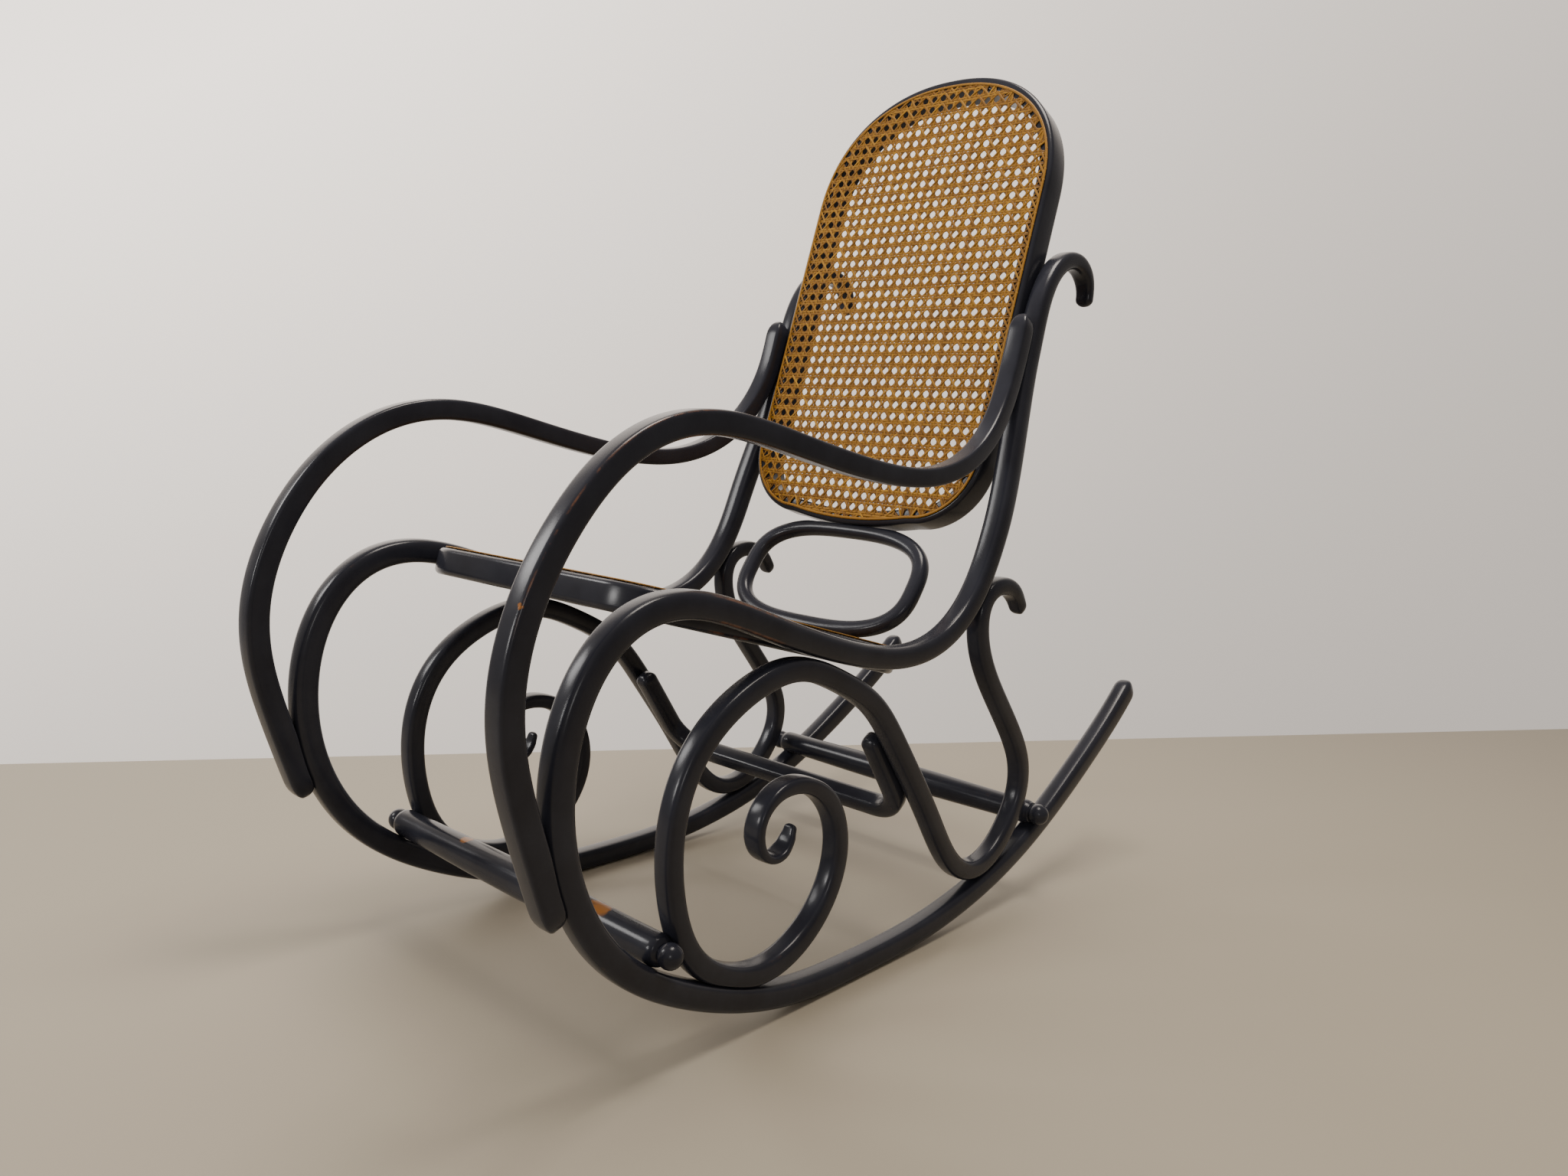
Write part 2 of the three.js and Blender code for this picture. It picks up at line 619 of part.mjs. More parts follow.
// Brace: a U that lies along the inner sides of both scrolls' straight diagonals.
const braceEndShares = [0.457, 0.237];
const braceFootShares = [0.52, 0.146];
const braceTurns = 5;
const uBrace = () => {
  const scrollInner = sideX(0) - scrollSize * touchShare / 2;
  const armX = scrollInner - fitGap - braceSize / 2;
  const end = onSide(braceEndShares);
  const foot = onSide(braceFootShares);
  const fall = foot.clone().sub(end);
  const length = fall.length();
  fall.normalize();
  const through = new THREE.Vector3(0, fall.z, -fall.y);
  const quarter = Math.PI / 2;
  const bend = arcPoints(armX - braceCorner, length - braceCorner, braceCorner, braceCorner,
    0, quarter, braceTurns);
  const far = bend.map(({ u, v, nu, nv }) => ({ u: -u, v, nu: -nu, nv })).reverse();
  const path = [{ u: armX, v: 0, nu: 1, nv: 0 }, ...bend, ...far, { u: -armX, v: 0, nu: -1, nv: 0 }];
  const place = (u, v, deep) => end.clone().addScaledVector(fall, v).addScaledVector(through, deep)
    .add(new THREE.Vector3(u, 0, 0));
  const sectionAt = ({ u, v, nu, nv }, left, shift) => softSquare(braceSize * left, braceSize * left,
    cornerShare * left * braceSize / 2).map(([out, deep]) => place(u + nu * out, v + nv * out + shift, deep));
  const tip = (from) => tipShares.map(([reach, left]) => sectionAt(from, left, -reach * braceSize / 2));
  const rings = path.map((point) => sectionAt(point, 1, 0));
  return loft([...tip(path[0]).reverse(), ...rings, ...tip(path[path.length - 1])], false);
};

const chair = new THREE.Group();
const add = (name, geometry, material) => {
  const mesh = new THREE.Mesh(geometry, material);
  mesh.name = name;
  chair.add(mesh);
  return mesh;
};

const lowest = railPoints.reduce((low, point) => (point.z < low.z ? point : low));
const standAlong = standShare * chairLength;
const railLengthTo = (along) => {
  const index = railPoints.findIndex((point) => point.y < along);
  return index / denseSteps;
};
const stand = {
  share: railLengthTo(standAlong),
  length: standFlat,
  point: new THREE.Vector3(0, standAlong, lowest.z),
};

for (const [side, word] of [[1, 'left'], [-1, 'right']]) {
  add(`side_rail_${word}`, bentRod(railCurve, railSizeAt, side, { stand }), wood());
  add(`inner_scroll_${word}`, bentRod(scrollCurve, scrollSizeAt, side, { planed: scrollPlaned }), wood());
  add(`armrest_${word}`, bentRod(armCurve, armSizeAt, side, { planed: armPlaned }), wood());
}
add('seat_frame', hoop(seatOutline(), rimSection(seatRimWidth, seatRimHeight), seatPlace), wood());
add('seat_cane', canePanel(seatOutline(), seatRimWidth, seatCanePitch, seatPlace), cane());
add('seat_binding', hoop(seatOutline(), bindingSection(), seatPlace), binding());
add('back_frame', hoop(backOutline(), rimSection(backRimWidth, backRimDepth), backPlace), wood());
add('back_cane', canePanel(backOutline(), backRimWidth, backCanePitch, backPlace), cane());
add('back_binding', hoop(backOutline(), bindingSection(), backPlace), binding());
add('back_ring', ovalRing(), wood());
add('front_stretcher', stretcher(frontSeat(), frontMiddle, frontEnd, frontKnob), wood());
add('rear_stretcher', stretcher(rearSeat(), rearMiddle, rearEnd, rearKnob), wood());
add('seat_brace', uBrace(), wood());

// The origin lies on the floor, under the middle of the chair's length.
const bounds = new THREE.Box3().setFromObject(chair, true);
const middleAlong = (bounds.min.y + bounds.max.y) / 2;
chair.children.forEach((mesh) => mesh.position.set(0, -middleAlong, -bounds.min.z));

export default chair;
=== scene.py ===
"""Bentwood rocking chair: black lacquered beech rods, with a hand-woven cane seat and back.

Lengths below are in millimetres, counted from the chair's front end and from the floor, as a
maker would measure them; every finished mesh is in metres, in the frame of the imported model.
"""
import math

import bpy
import numpy as np
from mathutils import Matrix, Vector


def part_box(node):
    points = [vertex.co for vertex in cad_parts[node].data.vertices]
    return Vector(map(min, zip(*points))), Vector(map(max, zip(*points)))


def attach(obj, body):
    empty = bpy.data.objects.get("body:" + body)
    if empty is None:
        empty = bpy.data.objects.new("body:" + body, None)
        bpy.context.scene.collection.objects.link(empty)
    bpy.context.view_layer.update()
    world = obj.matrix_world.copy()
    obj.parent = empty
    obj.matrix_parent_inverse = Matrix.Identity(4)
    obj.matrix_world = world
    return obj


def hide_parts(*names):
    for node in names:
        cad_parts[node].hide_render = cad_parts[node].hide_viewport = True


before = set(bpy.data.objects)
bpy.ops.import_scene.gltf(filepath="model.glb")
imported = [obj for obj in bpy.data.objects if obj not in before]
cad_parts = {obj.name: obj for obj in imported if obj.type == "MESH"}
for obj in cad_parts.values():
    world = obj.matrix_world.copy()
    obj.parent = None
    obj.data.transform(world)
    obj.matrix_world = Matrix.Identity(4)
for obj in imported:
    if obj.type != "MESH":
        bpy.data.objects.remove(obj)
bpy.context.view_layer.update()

METRE = 1000.0
# Takes a place counted from the chair's front end and the floor to the model's frame, both in mm
FRONT_TO_MIDDLE = np.array([0.0, -572.025, 0.5426])

# Camera: the photograph was taken from the sitter's left front, a little above the seat
camera = bpy.data.objects.new("camera", bpy.data.cameras.new("camera"))
bpy.context.scene.collection.objects.link(camera)
camera.data.sensor_fit = "HORIZONTAL"
camera.data.sensor_width = 36.0
camera.data.lens = 25.49
right = Vector((0.7493, 0.6585, 0.0704)).normalized()
back = right.cross(Vector((-0.1307, 0.0429, 0.9904))).normalized()
camera.matrix_world = Matrix((right, back.cross(right), back)).transposed().to_4x4()
camera.matrix_world.translation = (0.9036, -1.0462, 0.5661)
bpy.context.scene.camera = camera

# Driving dimensions of the chair. The rods' middle lines are given as shares of LENGTH and HEIGHT;
# the back's arch has a size of its own and rises a little above HEIGHT. FIT_GAP is the air between
# pieces that rest on each other, BEND_GAP that between bent rods laid side by side.
LENGTH = 1145.0
HEIGHT = 1068.0
RAIL_SPACING = 430.0
RAIL_SIZE = 26.0
SCROLL_SIZE = 24.0
ARM_SIZE = 23.5
RING_SIZE = 20.5
BRACE_SIZE = 24.0
FIT_GAP = 0.3
BEND_GAP = 1.0
SEAT_TILT = math.radians(13.1)
BACK_LEAN = math.radians(15.2)


# Meshes

NO_TRIS, NO_TRIS_LAID = np.zeros((0, 3), int), np.zeros((0, 3, 2))


def piece(name, points, quads, tris, corner_uv, material, nodes, marks=None):
    """A mesh from whole arrays: points in mm from the chair's front, faces, a (length, round) pair
    for each face corner, and a colour of marks for each point where the material reads them: a
    strand's tone and its painted shade. Its faces are turned so that the volume they enclose is positive."""
    sides = np.concatenate([quads[:, [0, 1, 2]], quads[:, [0, 2, 3]], tris])
    a, b, c = (points[sides[:, k]] for k in range(3))
    if np.einsum("ij,ij->", a - points[0], np.cross(b - points[0], c - points[0])) < 0:
        quads, tris = quads[:, ::-1], tris[:, ::-1]
        corner_uv = (corner_uv[0][:, ::-1], corner_uv[1][:, ::-1])
    mesh = bpy.data.meshes.new(name)
    loops = np.concatenate([quads.ravel(), tris.ravel()])
    starts = np.concatenate([np.arange(len(quads)) * 4, len(quads) * 4 + np.arange(len(tris)) * 3])
    mesh.vertices.add(len(points))
    mesh.vertices.foreach_set("co", ((points + FRONT_TO_MIDDLE) / METRE).ravel())
    mesh.loops.add(len(loops))
    mesh.loops.foreach_set("vertex_index", loops.astype(np.int32))
    mesh.polygons.add(len(starts))
    mesh.polygons.foreach_set("loop_start", starts.astype(np.int32))
    mesh.polygons.foreach_set("use_smooth", np.ones(len(starts), bool))
    mesh.update(calc_edges=True)
    laid = np.concatenate([corners.reshape(-1, 2) for corners in corner_uv])
    mesh.uv_layers.new(name="along_round").data.foreach_set("uv", laid.ravel())
    if marks is not None:
        mesh.attributes.new("strand", "FLOAT_COLOR", "POINT").data.foreach_set("color", marks.ravel())
    mesh.validate()
    mesh.materials.append(material)
    made = bpy.data.objects.new(name, mesh)
    bpy.context.scene.collection.objects.link(made)
    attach(made, "root")
    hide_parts(*nodes)


def ring_faces(count, around, closed):
    """Corner numbers of the faces of a tube of rings, joined ring to ring, and for each corner
    its ring and its place around, which run one past the last where the tube closes on itself."""
    rows = count if closed else count - 1
    i, j = np.meshgrid(np.arange(rows), np.arange(around), indexing="ij")
    step = np.stack([i, i, i + 1, i + 1], -1).reshape(-1, 4)
    turn = np.stack([j, j + 1, j + 1, j], -1).reshape(-1, 4)
    return (step % count) * around + turn % around, step, turn


def tube(name, rings, lengths, nodes, closed=False):
    """A lacquered skin over rings of points (ring, place around, xyz). An open tube ends in a pole
    at the middle of its first and last ring. Each corner keeps its length along the tube in metres
    and its share of the way round."""
    count, around = rings.shape[:2]
    quads, step, turn = ring_faces(count, around, closed)
    if closed:
        lengths = np.append(lengths, 2 * lengths[-1] - lengths[-2])
    laid = np.stack([lengths[step] / METRE, turn / around], -1)
    points = rings.reshape(-1, 3)
    tris, laid_tris = NO_TRIS, NO_TRIS_LAID
    if not closed:
        j = np.arange(around)
        poles = rings[[0, -1]].mean(axis=1)
        last = (count - 1) * around
        first_fan = np.stack([(j + 1) % around, j, np.full(around, len(points))], -1)
        last_fan = np.stack([last + j, last + (j + 1) % around, np.full(around, len(points) + 1)], -1)
        tris = np.concatenate([first_fan, last_fan])
        shares = np.concatenate([np.stack([j + 1, j, j + 0.5], -1),
                                 np.stack([j, j + 1, j + 0.5], -1)]) / around
        ends = np.repeat([lengths[0], lengths[-1]], around)[:, None] / METRE
        laid_tris = np.stack([np.broadcast_to(ends, shares.shape), shares], -1)
        points = np.concatenate([points, poles])
    piece(name, points, quads, tris, (laid, laid_tris), lacquer, nodes)


# Curves


def run_along(line):
    """Distance from a line's first point to each of its points: the sum of the steps up to it."""
    return np.concatenate([[0], np.cumsum(np.linalg.norm(np.diff(line, axis=0), axis=1))])


def evenly(line, step):
    """Points at equal distances along a line of points, about step apart."""
    run = run_along(line)
    at = np.linspace(0, run[-1], max(int(round(run[-1] / step)), 2) + 1)
    return np.stack([np.interp(at, run, line[:, k]) for k in range(line.shape[1])], -1)


def spline(points, step):
    """A cubic spline through all the points, whose parameter grows by the square root of each
    distance, read at equal distances along it."""
    points = np.asarray(points, float)
    gap = np.sqrt(np.linalg.norm(np.diff(points, axis=0), axis=1))
    knot = np.concatenate([[0], np.cumsum(gap)])
    inner = np.arange(1, len(points) - 1)
    system = np.eye(len(points))
    system[inner, inner - 1] = gap[:-1]
    system[inner, inner] = 2 * (gap[:-1] + gap[1:])
    system[inner, inner + 1] = gap[1:]
    load = np.zeros_like(points)
    load[1:-1] = 6 * np.diff(np.diff(points, axis=0) / gap[:, None], axis=0)
    bend = np.linalg.solve(system, load)
    readings = 60 * len(points)
    at = np.linspace(0, knot[-1], readings)
    k = np.clip(np.searchsorted(knot, at, side="right") - 1, 0, len(gap) - 1)
    before, after = ((knot[k + 1] - at) / gap[k])[:, None], ((at - knot[k]) / gap[k])[:, None]
    sag = ((before**3 - before) * bend[k] + (after**3 - after) * bend[k + 1]) * gap[k][:, None] ** 2 / 6
    return evenly(before * points[k] + after * points[k + 1] + sag, step)


def faired(line, step, reach=120.0):
    """The line that keeps close to the given one while its curvature changes as evenly as it can:
    least squares of the distance plus the third differences, with the line held tightly where it
    bends sharply and loosely where it runs straight. The hold is the square of tight_radius times
    the bend, a mean over its neighbours; reach is how long a wave has to be to be kept."""
    neighbours, tight_radius, loosest, tightest, held_end = 6, 45.0, 0.06, 3.0, 400.0
    first = np.gradient(line, step, axis=0)
    second = np.gradient(first, step, axis=0)
    bend = np.linalg.norm(second, axis=1)
    window = 2 * neighbours + 1
    bend = np.convolve(np.pad(bend, neighbours, mode="edge"), np.ones(window) / window, mode="valid")
    hold = np.clip((tight_radius * bend) ** 2, loosest, tightest)
    hold[:2] = hold[-2:] = held_end
    third = np.diff(np.eye(len(line)), n=3, axis=0)
    stiff = (reach / (2 * math.pi * step)) ** 6 * third.T @ third
    return np.linalg.solve(np.diag(hold) + stiff, hold[:, None] * line)


def directions(line):
    """Unit direction along a line of points, and the same turned a quarter towards its inner side."""
    along = np.gradient(line, axis=0)
    along /= np.linalg.norm(along, axis=1, keepdims=True)
    return along, np.stack([along[:, 1], -along[:, 0]], -1)


def eased(table, share):
    """A value that steps smoothly from entry to entry of a table of (share, value)."""
    at, value = np.array(table, float).T
    k = np.clip(np.searchsorted(at, share) - 1, 0, len(at) - 2)
    t = np.clip((share - at[k]) / (at[k + 1] - at[k]), 0, 1)
    return value[k] + (value[k + 1] - value[k]) * t * t * (3 - 2 * t)


# Middle lines of the rods in a side's upright plane, as shares of LENGTH and HEIGHT: the side rail
# from the runner's rear tip to its top curl, the scroll from its small curl to its rear curl, in the
# stretches between the places where it lies on the rail, and the armrest from its foot rearward
RAIL_SHARES = [
    (0.988, 0.235), (0.955, 0.206), (0.878, 0.151), (0.805, 0.105), (0.734, 0.068),
    (0.667, 0.043), (0.609, 0.028), (0.549, 0.018), (0.489, 0.0128), (0.431, 0.0122),
    (0.364, 0.0128), (0.306, 0.0203), (0.252, 0.0362), (0.197, 0.0597), (0.149, 0.088),
    (0.108, 0.123), (0.08, 0.166), (0.062, 0.212), (0.056, 0.256), (0.058, 0.298),
    (0.068, 0.337), (0.088, 0.371), (0.117, 0.395), (0.152, 0.404), (0.198, 0.399),
    (0.256, 0.381), (0.324, 0.359), (0.391, 0.341), (0.453, 0.333), (0.507, 0.338),
    (0.554, 0.362), (0.588, 0.4), (0.609, 0.446), (0.626, 0.496), (0.641, 0.545),
    (0.655, 0.594), (0.667, 0.642), (0.677, 0.69), (0.688, 0.728), (0.706, 0.761),
    (0.731, 0.781), (0.757, 0.785), (0.778, 0.776), (0.789, 0.759), (0.789, 0.746),
]
CURL_SHARES = [
    (0.313, 0.182), (0.308, 0.169), (0.299, 0.161), (0.287, 0.159), (0.274, 0.167), (0.267, 0.183),
    (0.268, 0.2), (0.279, 0.215), (0.298, 0.224), (0.323, 0.223), (0.347, 0.212), (0.368, 0.19),
    (0.379, 0.162), (0.379, 0.132), (0.367, 0.1), (0.344, 0.074), (0.31, 0.055),
]
LOOP_SHARES = [
    (0.208, 0.082), (0.187, 0.112), (0.175, 0.146), (0.169, 0.177), (0.168, 0.208), (0.173, 0.238),
    (0.183, 0.265), (0.199, 0.288), (0.222, 0.308), (0.254, 0.325), (0.294, 0.336),
]
DIAGONAL_SHARES = [
    (0.411, 0.294), (0.438, 0.269), (0.465, 0.236), (0.495, 0.198),
    (0.525, 0.157), (0.555, 0.115), (0.582, 0.083), (0.61, 0.065),
]
REAR_SHARES = [
    (0.679, 0.082), (0.7, 0.104), (0.714, 0.131), (0.718, 0.16), (0.706, 0.19),
    (0.678, 0.23), (0.649, 0.264), (0.626, 0.292), (0.609, 0.32), (0.6, 0.345),
]
REAR_CURL_SHARES = [(0.627, 0.396), (0.647, 0.398), (0.665, 0.389), (0.678, 0.373)]
ARM_SHARES = [
    (0.024, 0.264), (0.014, 0.3), (0.01, 0.334), (0.012, 0.366), (0.019, 0.397), (0.031, 0.43),
    (0.047, 0.461), (0.067, 0.489), (0.091, 0.514), (0.118, 0.533), (0.148, 0.546), (0.18, 0.552),
    (0.214, 0.552), (0.25, 0.547), (0.287, 0.54), (0.369, 0.525), (0.416, 0.519), (0.466, 0.517),
    (0.515, 0.523), (0.557, 0.54), (0.588, 0.56), (0.611, 0.586), (0.627, 0.615),
]
# How thick a rod is along its length, as (share of the length, share of the rod's size): sizes in
# the side's plane, depths across it
RAIL_SIZES = [(0, 1.3), (0.06, 1.22), (0.12, 1.1), (0.3, 1.02), (0.44, 1.03), (0.6, 1.02), (0.72, 0.98),
              (0.84, 1.1), (0.91, 1.04), (0.95, 0.9), (0.975, 0.84), (1, 0.6)]
RAIL_DEPTHS = [(0, 1.02), (0.12, 1.04)] + RAIL_SIZES[3:9] + [(0.95, 0.96), (0.985, 0.96), (1, 0.84)]
SCROLL_SIZES = [(0, 0.3), (0.02, 0.38), (0.046, 0.48), (0.084, 0.75), (0.12, 0.9), (0.163, 0.99), (0.2, 1.03),
                (0.33, 0.94), (0.45, 1.01), (0.8, 1.02), (0.93, 0.98), (0.97, 0.92), (1, 0.74)]
SCROLL_DEPTHS = [(0, 0.6), (0.006, 0.82), (0.014, 0.98), (0.2, 1.03), (0.33, 0.94), (0.45, 1.01), (0.8, 1.02),
                 (0.93, 1.0), (0.985, 1.0), (1, 0.86)]
ARM_SIZES = [(0, 1.06), (0.3, 1), (0.6, 0.98), (0.75, 0.92), (0.9, 1.02), (1, 1.04)]
STEP = 4.0
RAIL_BY_SEAT, SCROLL_BY_RAIL = RAIL_SIZE * 1.02, SCROLL_SIZE * 1.02

# Shares of the rail's length where the scroll lies on it, where the armrest starts and ends on it,
# and where it clasps the back. On the front bend the scroll and the armrest are planed for it.
AT_FRONT_BEND, AT_SEAT_RAIL, AT_RUNNER, AT_STILE = 0.357, 0.66, 0.171, 0.783
ARM_FOOT, ARM_END, AT_BACK = (0.4632, 0.4665, 0.4698), (0.893, 0.9035, 0.9137), 0.906
PLANED = 5.0


def on_side(shares):
    """Places in a side's upright plane, in mm, from shares of the chair's length and height."""
    return np.array(shares, float) * (LENGTH, HEIGHT)


rail_line = faired(spline(on_side(RAIL_SHARES), STEP), STEP)
_, rail_inward = directions(rail_line)


def on_rail(share):
    """The rail's place, inward direction and size at a share of its length."""
    at = share * (len(rail_line) - 1)
    k = min(int(at), len(rail_line) - 2)
    spot = rail_line[k] + (rail_line[k + 1] - rail_line[k]) * (at - k)
    return spot, rail_inward[k], RAIL_SIZE * float(eased(RAIL_SIZES, np.array(share)))


def beside_rail(share, side, size, extra=0.0):
    """A place beside the rail: half of each rod and a gap away from its middle line, on its scroll
    side (1) or its armrest side (-1)."""
    spot, inward, rail_size = on_rail(share)
    return spot + side * inward * (rail_size / 2 + size / 2 + BEND_GAP + extra)


def lying(share, direction, steps=(-1, 0, 1), planed=0.0):
    """Places of the scroll where it lies on the rail, easing off before and after, and nearer to
    the rail by as much as it is planed there."""
    apart, easing = 0.008, 0.06 * SCROLL_SIZE
    return [beside_rail(share + direction * step * apart, 1, SCROLL_BY_RAIL, abs(step) * easing - planed)
            for step in steps]


scroll_line = np.concatenate([
    on_side(CURL_SHARES), lying(AT_FRONT_BEND, 1, planed=PLANED), on_side(LOOP_SHARES),
    lying(AT_SEAT_RAIL, 1, (0, 1)), on_side(DIAGONAL_SHARES), lying(AT_RUNNER, -1),
    on_side(REAR_SHARES), lying(AT_STILE, 1, (0, 1)), on_side(REAR_CURL_SHARES)])
scroll_line = faired(spline(scroll_line, STEP), STEP, reach=90.0)
arm_line = np.concatenate([
    [beside_rail(share, -1, ARM_SIZE * 1.06, -PLANED) for share in ARM_FOOT], on_side(ARM_SHARES),
    [beside_rail(share, -1, ARM_SIZE * 1.04) for share in ARM_END]])
arm_line = faired(spline(arm_line, STEP), STEP)

BACK_WIDTH = 372.0
CLASP_X = BACK_WIDTH / 2 + FIT_GAP + on_rail(AT_BACK)[2] / 2


def side_x(height):
    """Distance of a side's plane from the chair's middle: half the rail spacing below, drawing in
    smoothly to clasp the back frame above."""
    starts, over = 0.46, 0.2
    t = np.clip((height / HEIGHT - starts) / over, 0, 1)
    return RAIL_SPACING / 2 + (CLASP_X - RAIL_SPACING / 2) * t * t * (3 - 2 * t)


def soft_square(power, around=32):
    """Outline of a square softened to a superellipse: the signed 2/power-th power of cosine and
    sine, half a unit from middle to flat. Its corners lie at odd eighths of the way round."""
    angle = np.arange(around) * 2 * math.pi / around
    cosine, sine = np.cos(angle), np.sin(angle)
    return np.stack([np.sign(cosine) * np.abs(cosine) ** (2 / power),
                     np.sign(sine) * np.abs(sine) ** (2 / power)], -1) / 2


def with_tips(middle, along, sizes, blunt):
    """Middles and sizes of a rod's rings with both ends rounded: extra rings beyond each end, whose
    reach is the sine, times blunt, and whose size the cosine of a quarter turn."""
    turn = np.radians([14, 28, 42, 55, 66, 75, 82, 87])
    reach, left = np.sin(turn)[:, None], np.cos(turn)
    first = middle[0] - along[0] * reach * sizes[0] * blunt
    last = middle[-1] + along[-1] * reach * sizes[-1] * blunt
    middle = np.concatenate([first[::-1], middle, last])
    sizes = np.concatenate([(sizes[0] * left)[::-1], sizes, sizes[-1] * left])
    return middle, sizes, len(turn)


def planed_to_rail(spots, inward, across):
    """The section's reach across, cut flat wherever it would enter the rail: no further towards the
    rail than the distance between both middle lines less the rail's half size and a hair."""
    hair, least = 0.4, 2.0
    away = rail_line[None] - spots[:, None]
    distance = np.linalg.norm(away, axis=2)
    k = distance.argmin(axis=1)
    rail_half = RAIL_SIZE * eased(RAIL_SIZES, k / (len(rail_line) - 1)) / 2
    ring = np.arange(len(k))
    limit = distance[ring, k] - rail_half - hair
    towards = np.sign(np.einsum("ij,ij->i", away[ring, k], inward))[:, None]
    return towards * np.minimum(towards * across, np.maximum(limit, least)[:, None])


def bent_rod(name, line, tables, size, side, power, blunt, nodes, planed=True):
    """A rod of softened square section carried along a line in a side's plane. Its flats face
    outward, inward, and along the plane. Two tables give its size in that plane and its depth
    across the plane, which differ where a tip is shaved thin."""
    share = np.linspace(0, 1, len(line))
    along, inward = directions(line)
    spots, sizes, extra = with_tips(line, along, size * eased(tables[0], share), blunt)
    depths = with_tips(line, along, size * eased(tables[1], share), blunt)[1]
    inward = np.pad(inward, ((extra, extra), (0, 0)), mode="edge")
    outline = soft_square(power)
    across, through = outline[:, 0] * sizes[:, None], outline[:, 1] * depths[:, None]
    if planed:
        across = planed_to_rail(spots, inward, across)
    x = side * side_x(spots[:, 1])[:, None] + through
    yz = spots[:, None, :] + inward[:, None, :] * across[..., None]
    rings = np.concatenate([x[..., None], yz], -1)
    rings[..., 2] = np.maximum(rings[..., 2], -FRONT_TO_MIDDLE[2])
    tube(name, rings, run_along(spots), nodes)


# Materials

SMOOTH = {"interpolation_type": "SMOOTHSTEP"}


def colour(hex_value):
    """Linear colour of an sRGB hex value."""
    parts = np.array([hex_value >> 16 & 255, hex_value >> 8 & 255, hex_value & 255]) / 255
    linear = np.where(parts <= 0.04045, parts / 12.92, ((parts + 0.055) / 1.055) ** 2.4)
    return (*(float(v) for v in linear), 1.0)


def add_node(tree, kind, settings=None, **links):
    """Adds a node with its settings. A link's name is the input's name with spaces as underscores,
    or its number after the letter i, and its value is another node, for its first output, an output
    or a plain value. Of a Map Range, i1 and i2 bound what comes in and i3 and i4 what goes out."""
    node = tree.nodes.new(kind)
    for key, value in (settings or {}).items():
        setattr(node, key, value)
    for key, value in links.items():
        by_number = key[0] == "i" and key[1:].isdigit()
        socket = node.inputs[int(key[1:])] if by_number else node.inputs[key.replace("_", " ")]
        if isinstance(value, bpy.types.Node):
            value = value.outputs[0]
        if isinstance(value, bpy.types.NodeSocket):
            tree.links.new(value, socket)
        else:
            socket.default_value = value
    return node


def blank(name):
    """A material with only a Principled shader, and that shader."""
    material = bpy.data.materials.new(name)
    material.use_nodes = True
    tree = material.node_tree
    return material, tree, tree.nodes["Principled BSDF"]


def stops(node, *pairs):
    """Sets a colour ramp's stops from (place, colour) pairs."""
    ramp = node.color_ramp
    while len(ramp.elements) < len(pairs):
        ramp.elements.new(0.5)
    for element, (place, value) in zip(ramp.elements, pairs):
        element.position, element.color = place, value
    return node


# Beech stained black and lacquered: a deep satin black whose sheen runs along the bent rods,
# rubbed down to the reddish stain on the ridges where hands and feet pass, with a few bare chips.
lacquer, tree, shader = blank("black_lacquered_beech")
place = add_node(tree, "ShaderNodeTexCoord").outputs["Object"]
laid = add_node(tree, "ShaderNodeUVMap", {"uv_map": "along_round"})
split = add_node(tree, "ShaderNodeSeparateXYZ", Vector=laid)
# cloud: patches about 70 mm across where the coat is a little thinner
cloud = add_node(tree, "ShaderNodeTexNoise", Vector=place, Scale=14.0, Detail=4.0, Roughness=0.6)
base = stops(add_node(tree, "ShaderNodeValToRGB", Fac=cloud),
             (0.3, colour(0x23242C)), (0.7, colour(0x2E3039)))
# ridge: how near the surface is to one of the rod's four soft corners
eighth = add_node(tree, "ShaderNodeMath", {"operation": "PINGPONG"}, i0=split.outputs["Y"], i1=0.125)
ridge = add_node(tree, "ShaderNodeMapRange", SMOOTH, Value=eighth, i1=0.085, i2=0.118, i3=0.0, i4=1.0)
# rubbed: marks about 26 mm long, broken up finely, in zones about 180 mm across
rub = add_node(tree, "ShaderNodeTexNoise", Vector=place, Scale=38.0, Detail=6.0, Roughness=0.7)
zone = add_node(tree, "ShaderNodeTexNoise", Vector=place, Scale=5.5, Detail=2.0)
rubbed = add_node(tree, "ShaderNodeMath", {"operation": "MULTIPLY_ADD"}, i0=zone, i1=0.55, i2=rub)
rubbed = add_node(tree, "ShaderNodeMapRange", Value=rubbed, i1=0.93, i2=1.05, i3=0.0, i4=0.8)
worn = add_node(tree, "ShaderNodeMath", {"operation": "MULTIPLY"}, i0=rubbed, i1=ridge)
mixed = add_node(tree, "ShaderNodeMix", {"data_type": "RGBA"}, i0=worn, i6=base, i7=colour(0x4A3A35))
# ragged: the place pulled about by up to half of RAGGED metres in spots of 6 mm, which frays edges
RAGGED = 0.009
ragged = add_node(tree, "ShaderNodeTexNoise", Vector=place, Scale=160.0, Detail=3.0)
ragged = add_node(tree, "ShaderNodeVectorMath", {"operation": "SCALE"},
                  i0=ragged.outputs["Color"], Scale=RAGGED)
ragged = add_node(tree, "ShaderNodeVectorMath", {"operation": "ADD"}, i0=place, i1=ragged)
ragged = add_node(tree, "ShaderNodeVectorMath", {"operation": "SUBTRACT"}, i0=ragged, i1=(RAGGED / 2,) * 3)


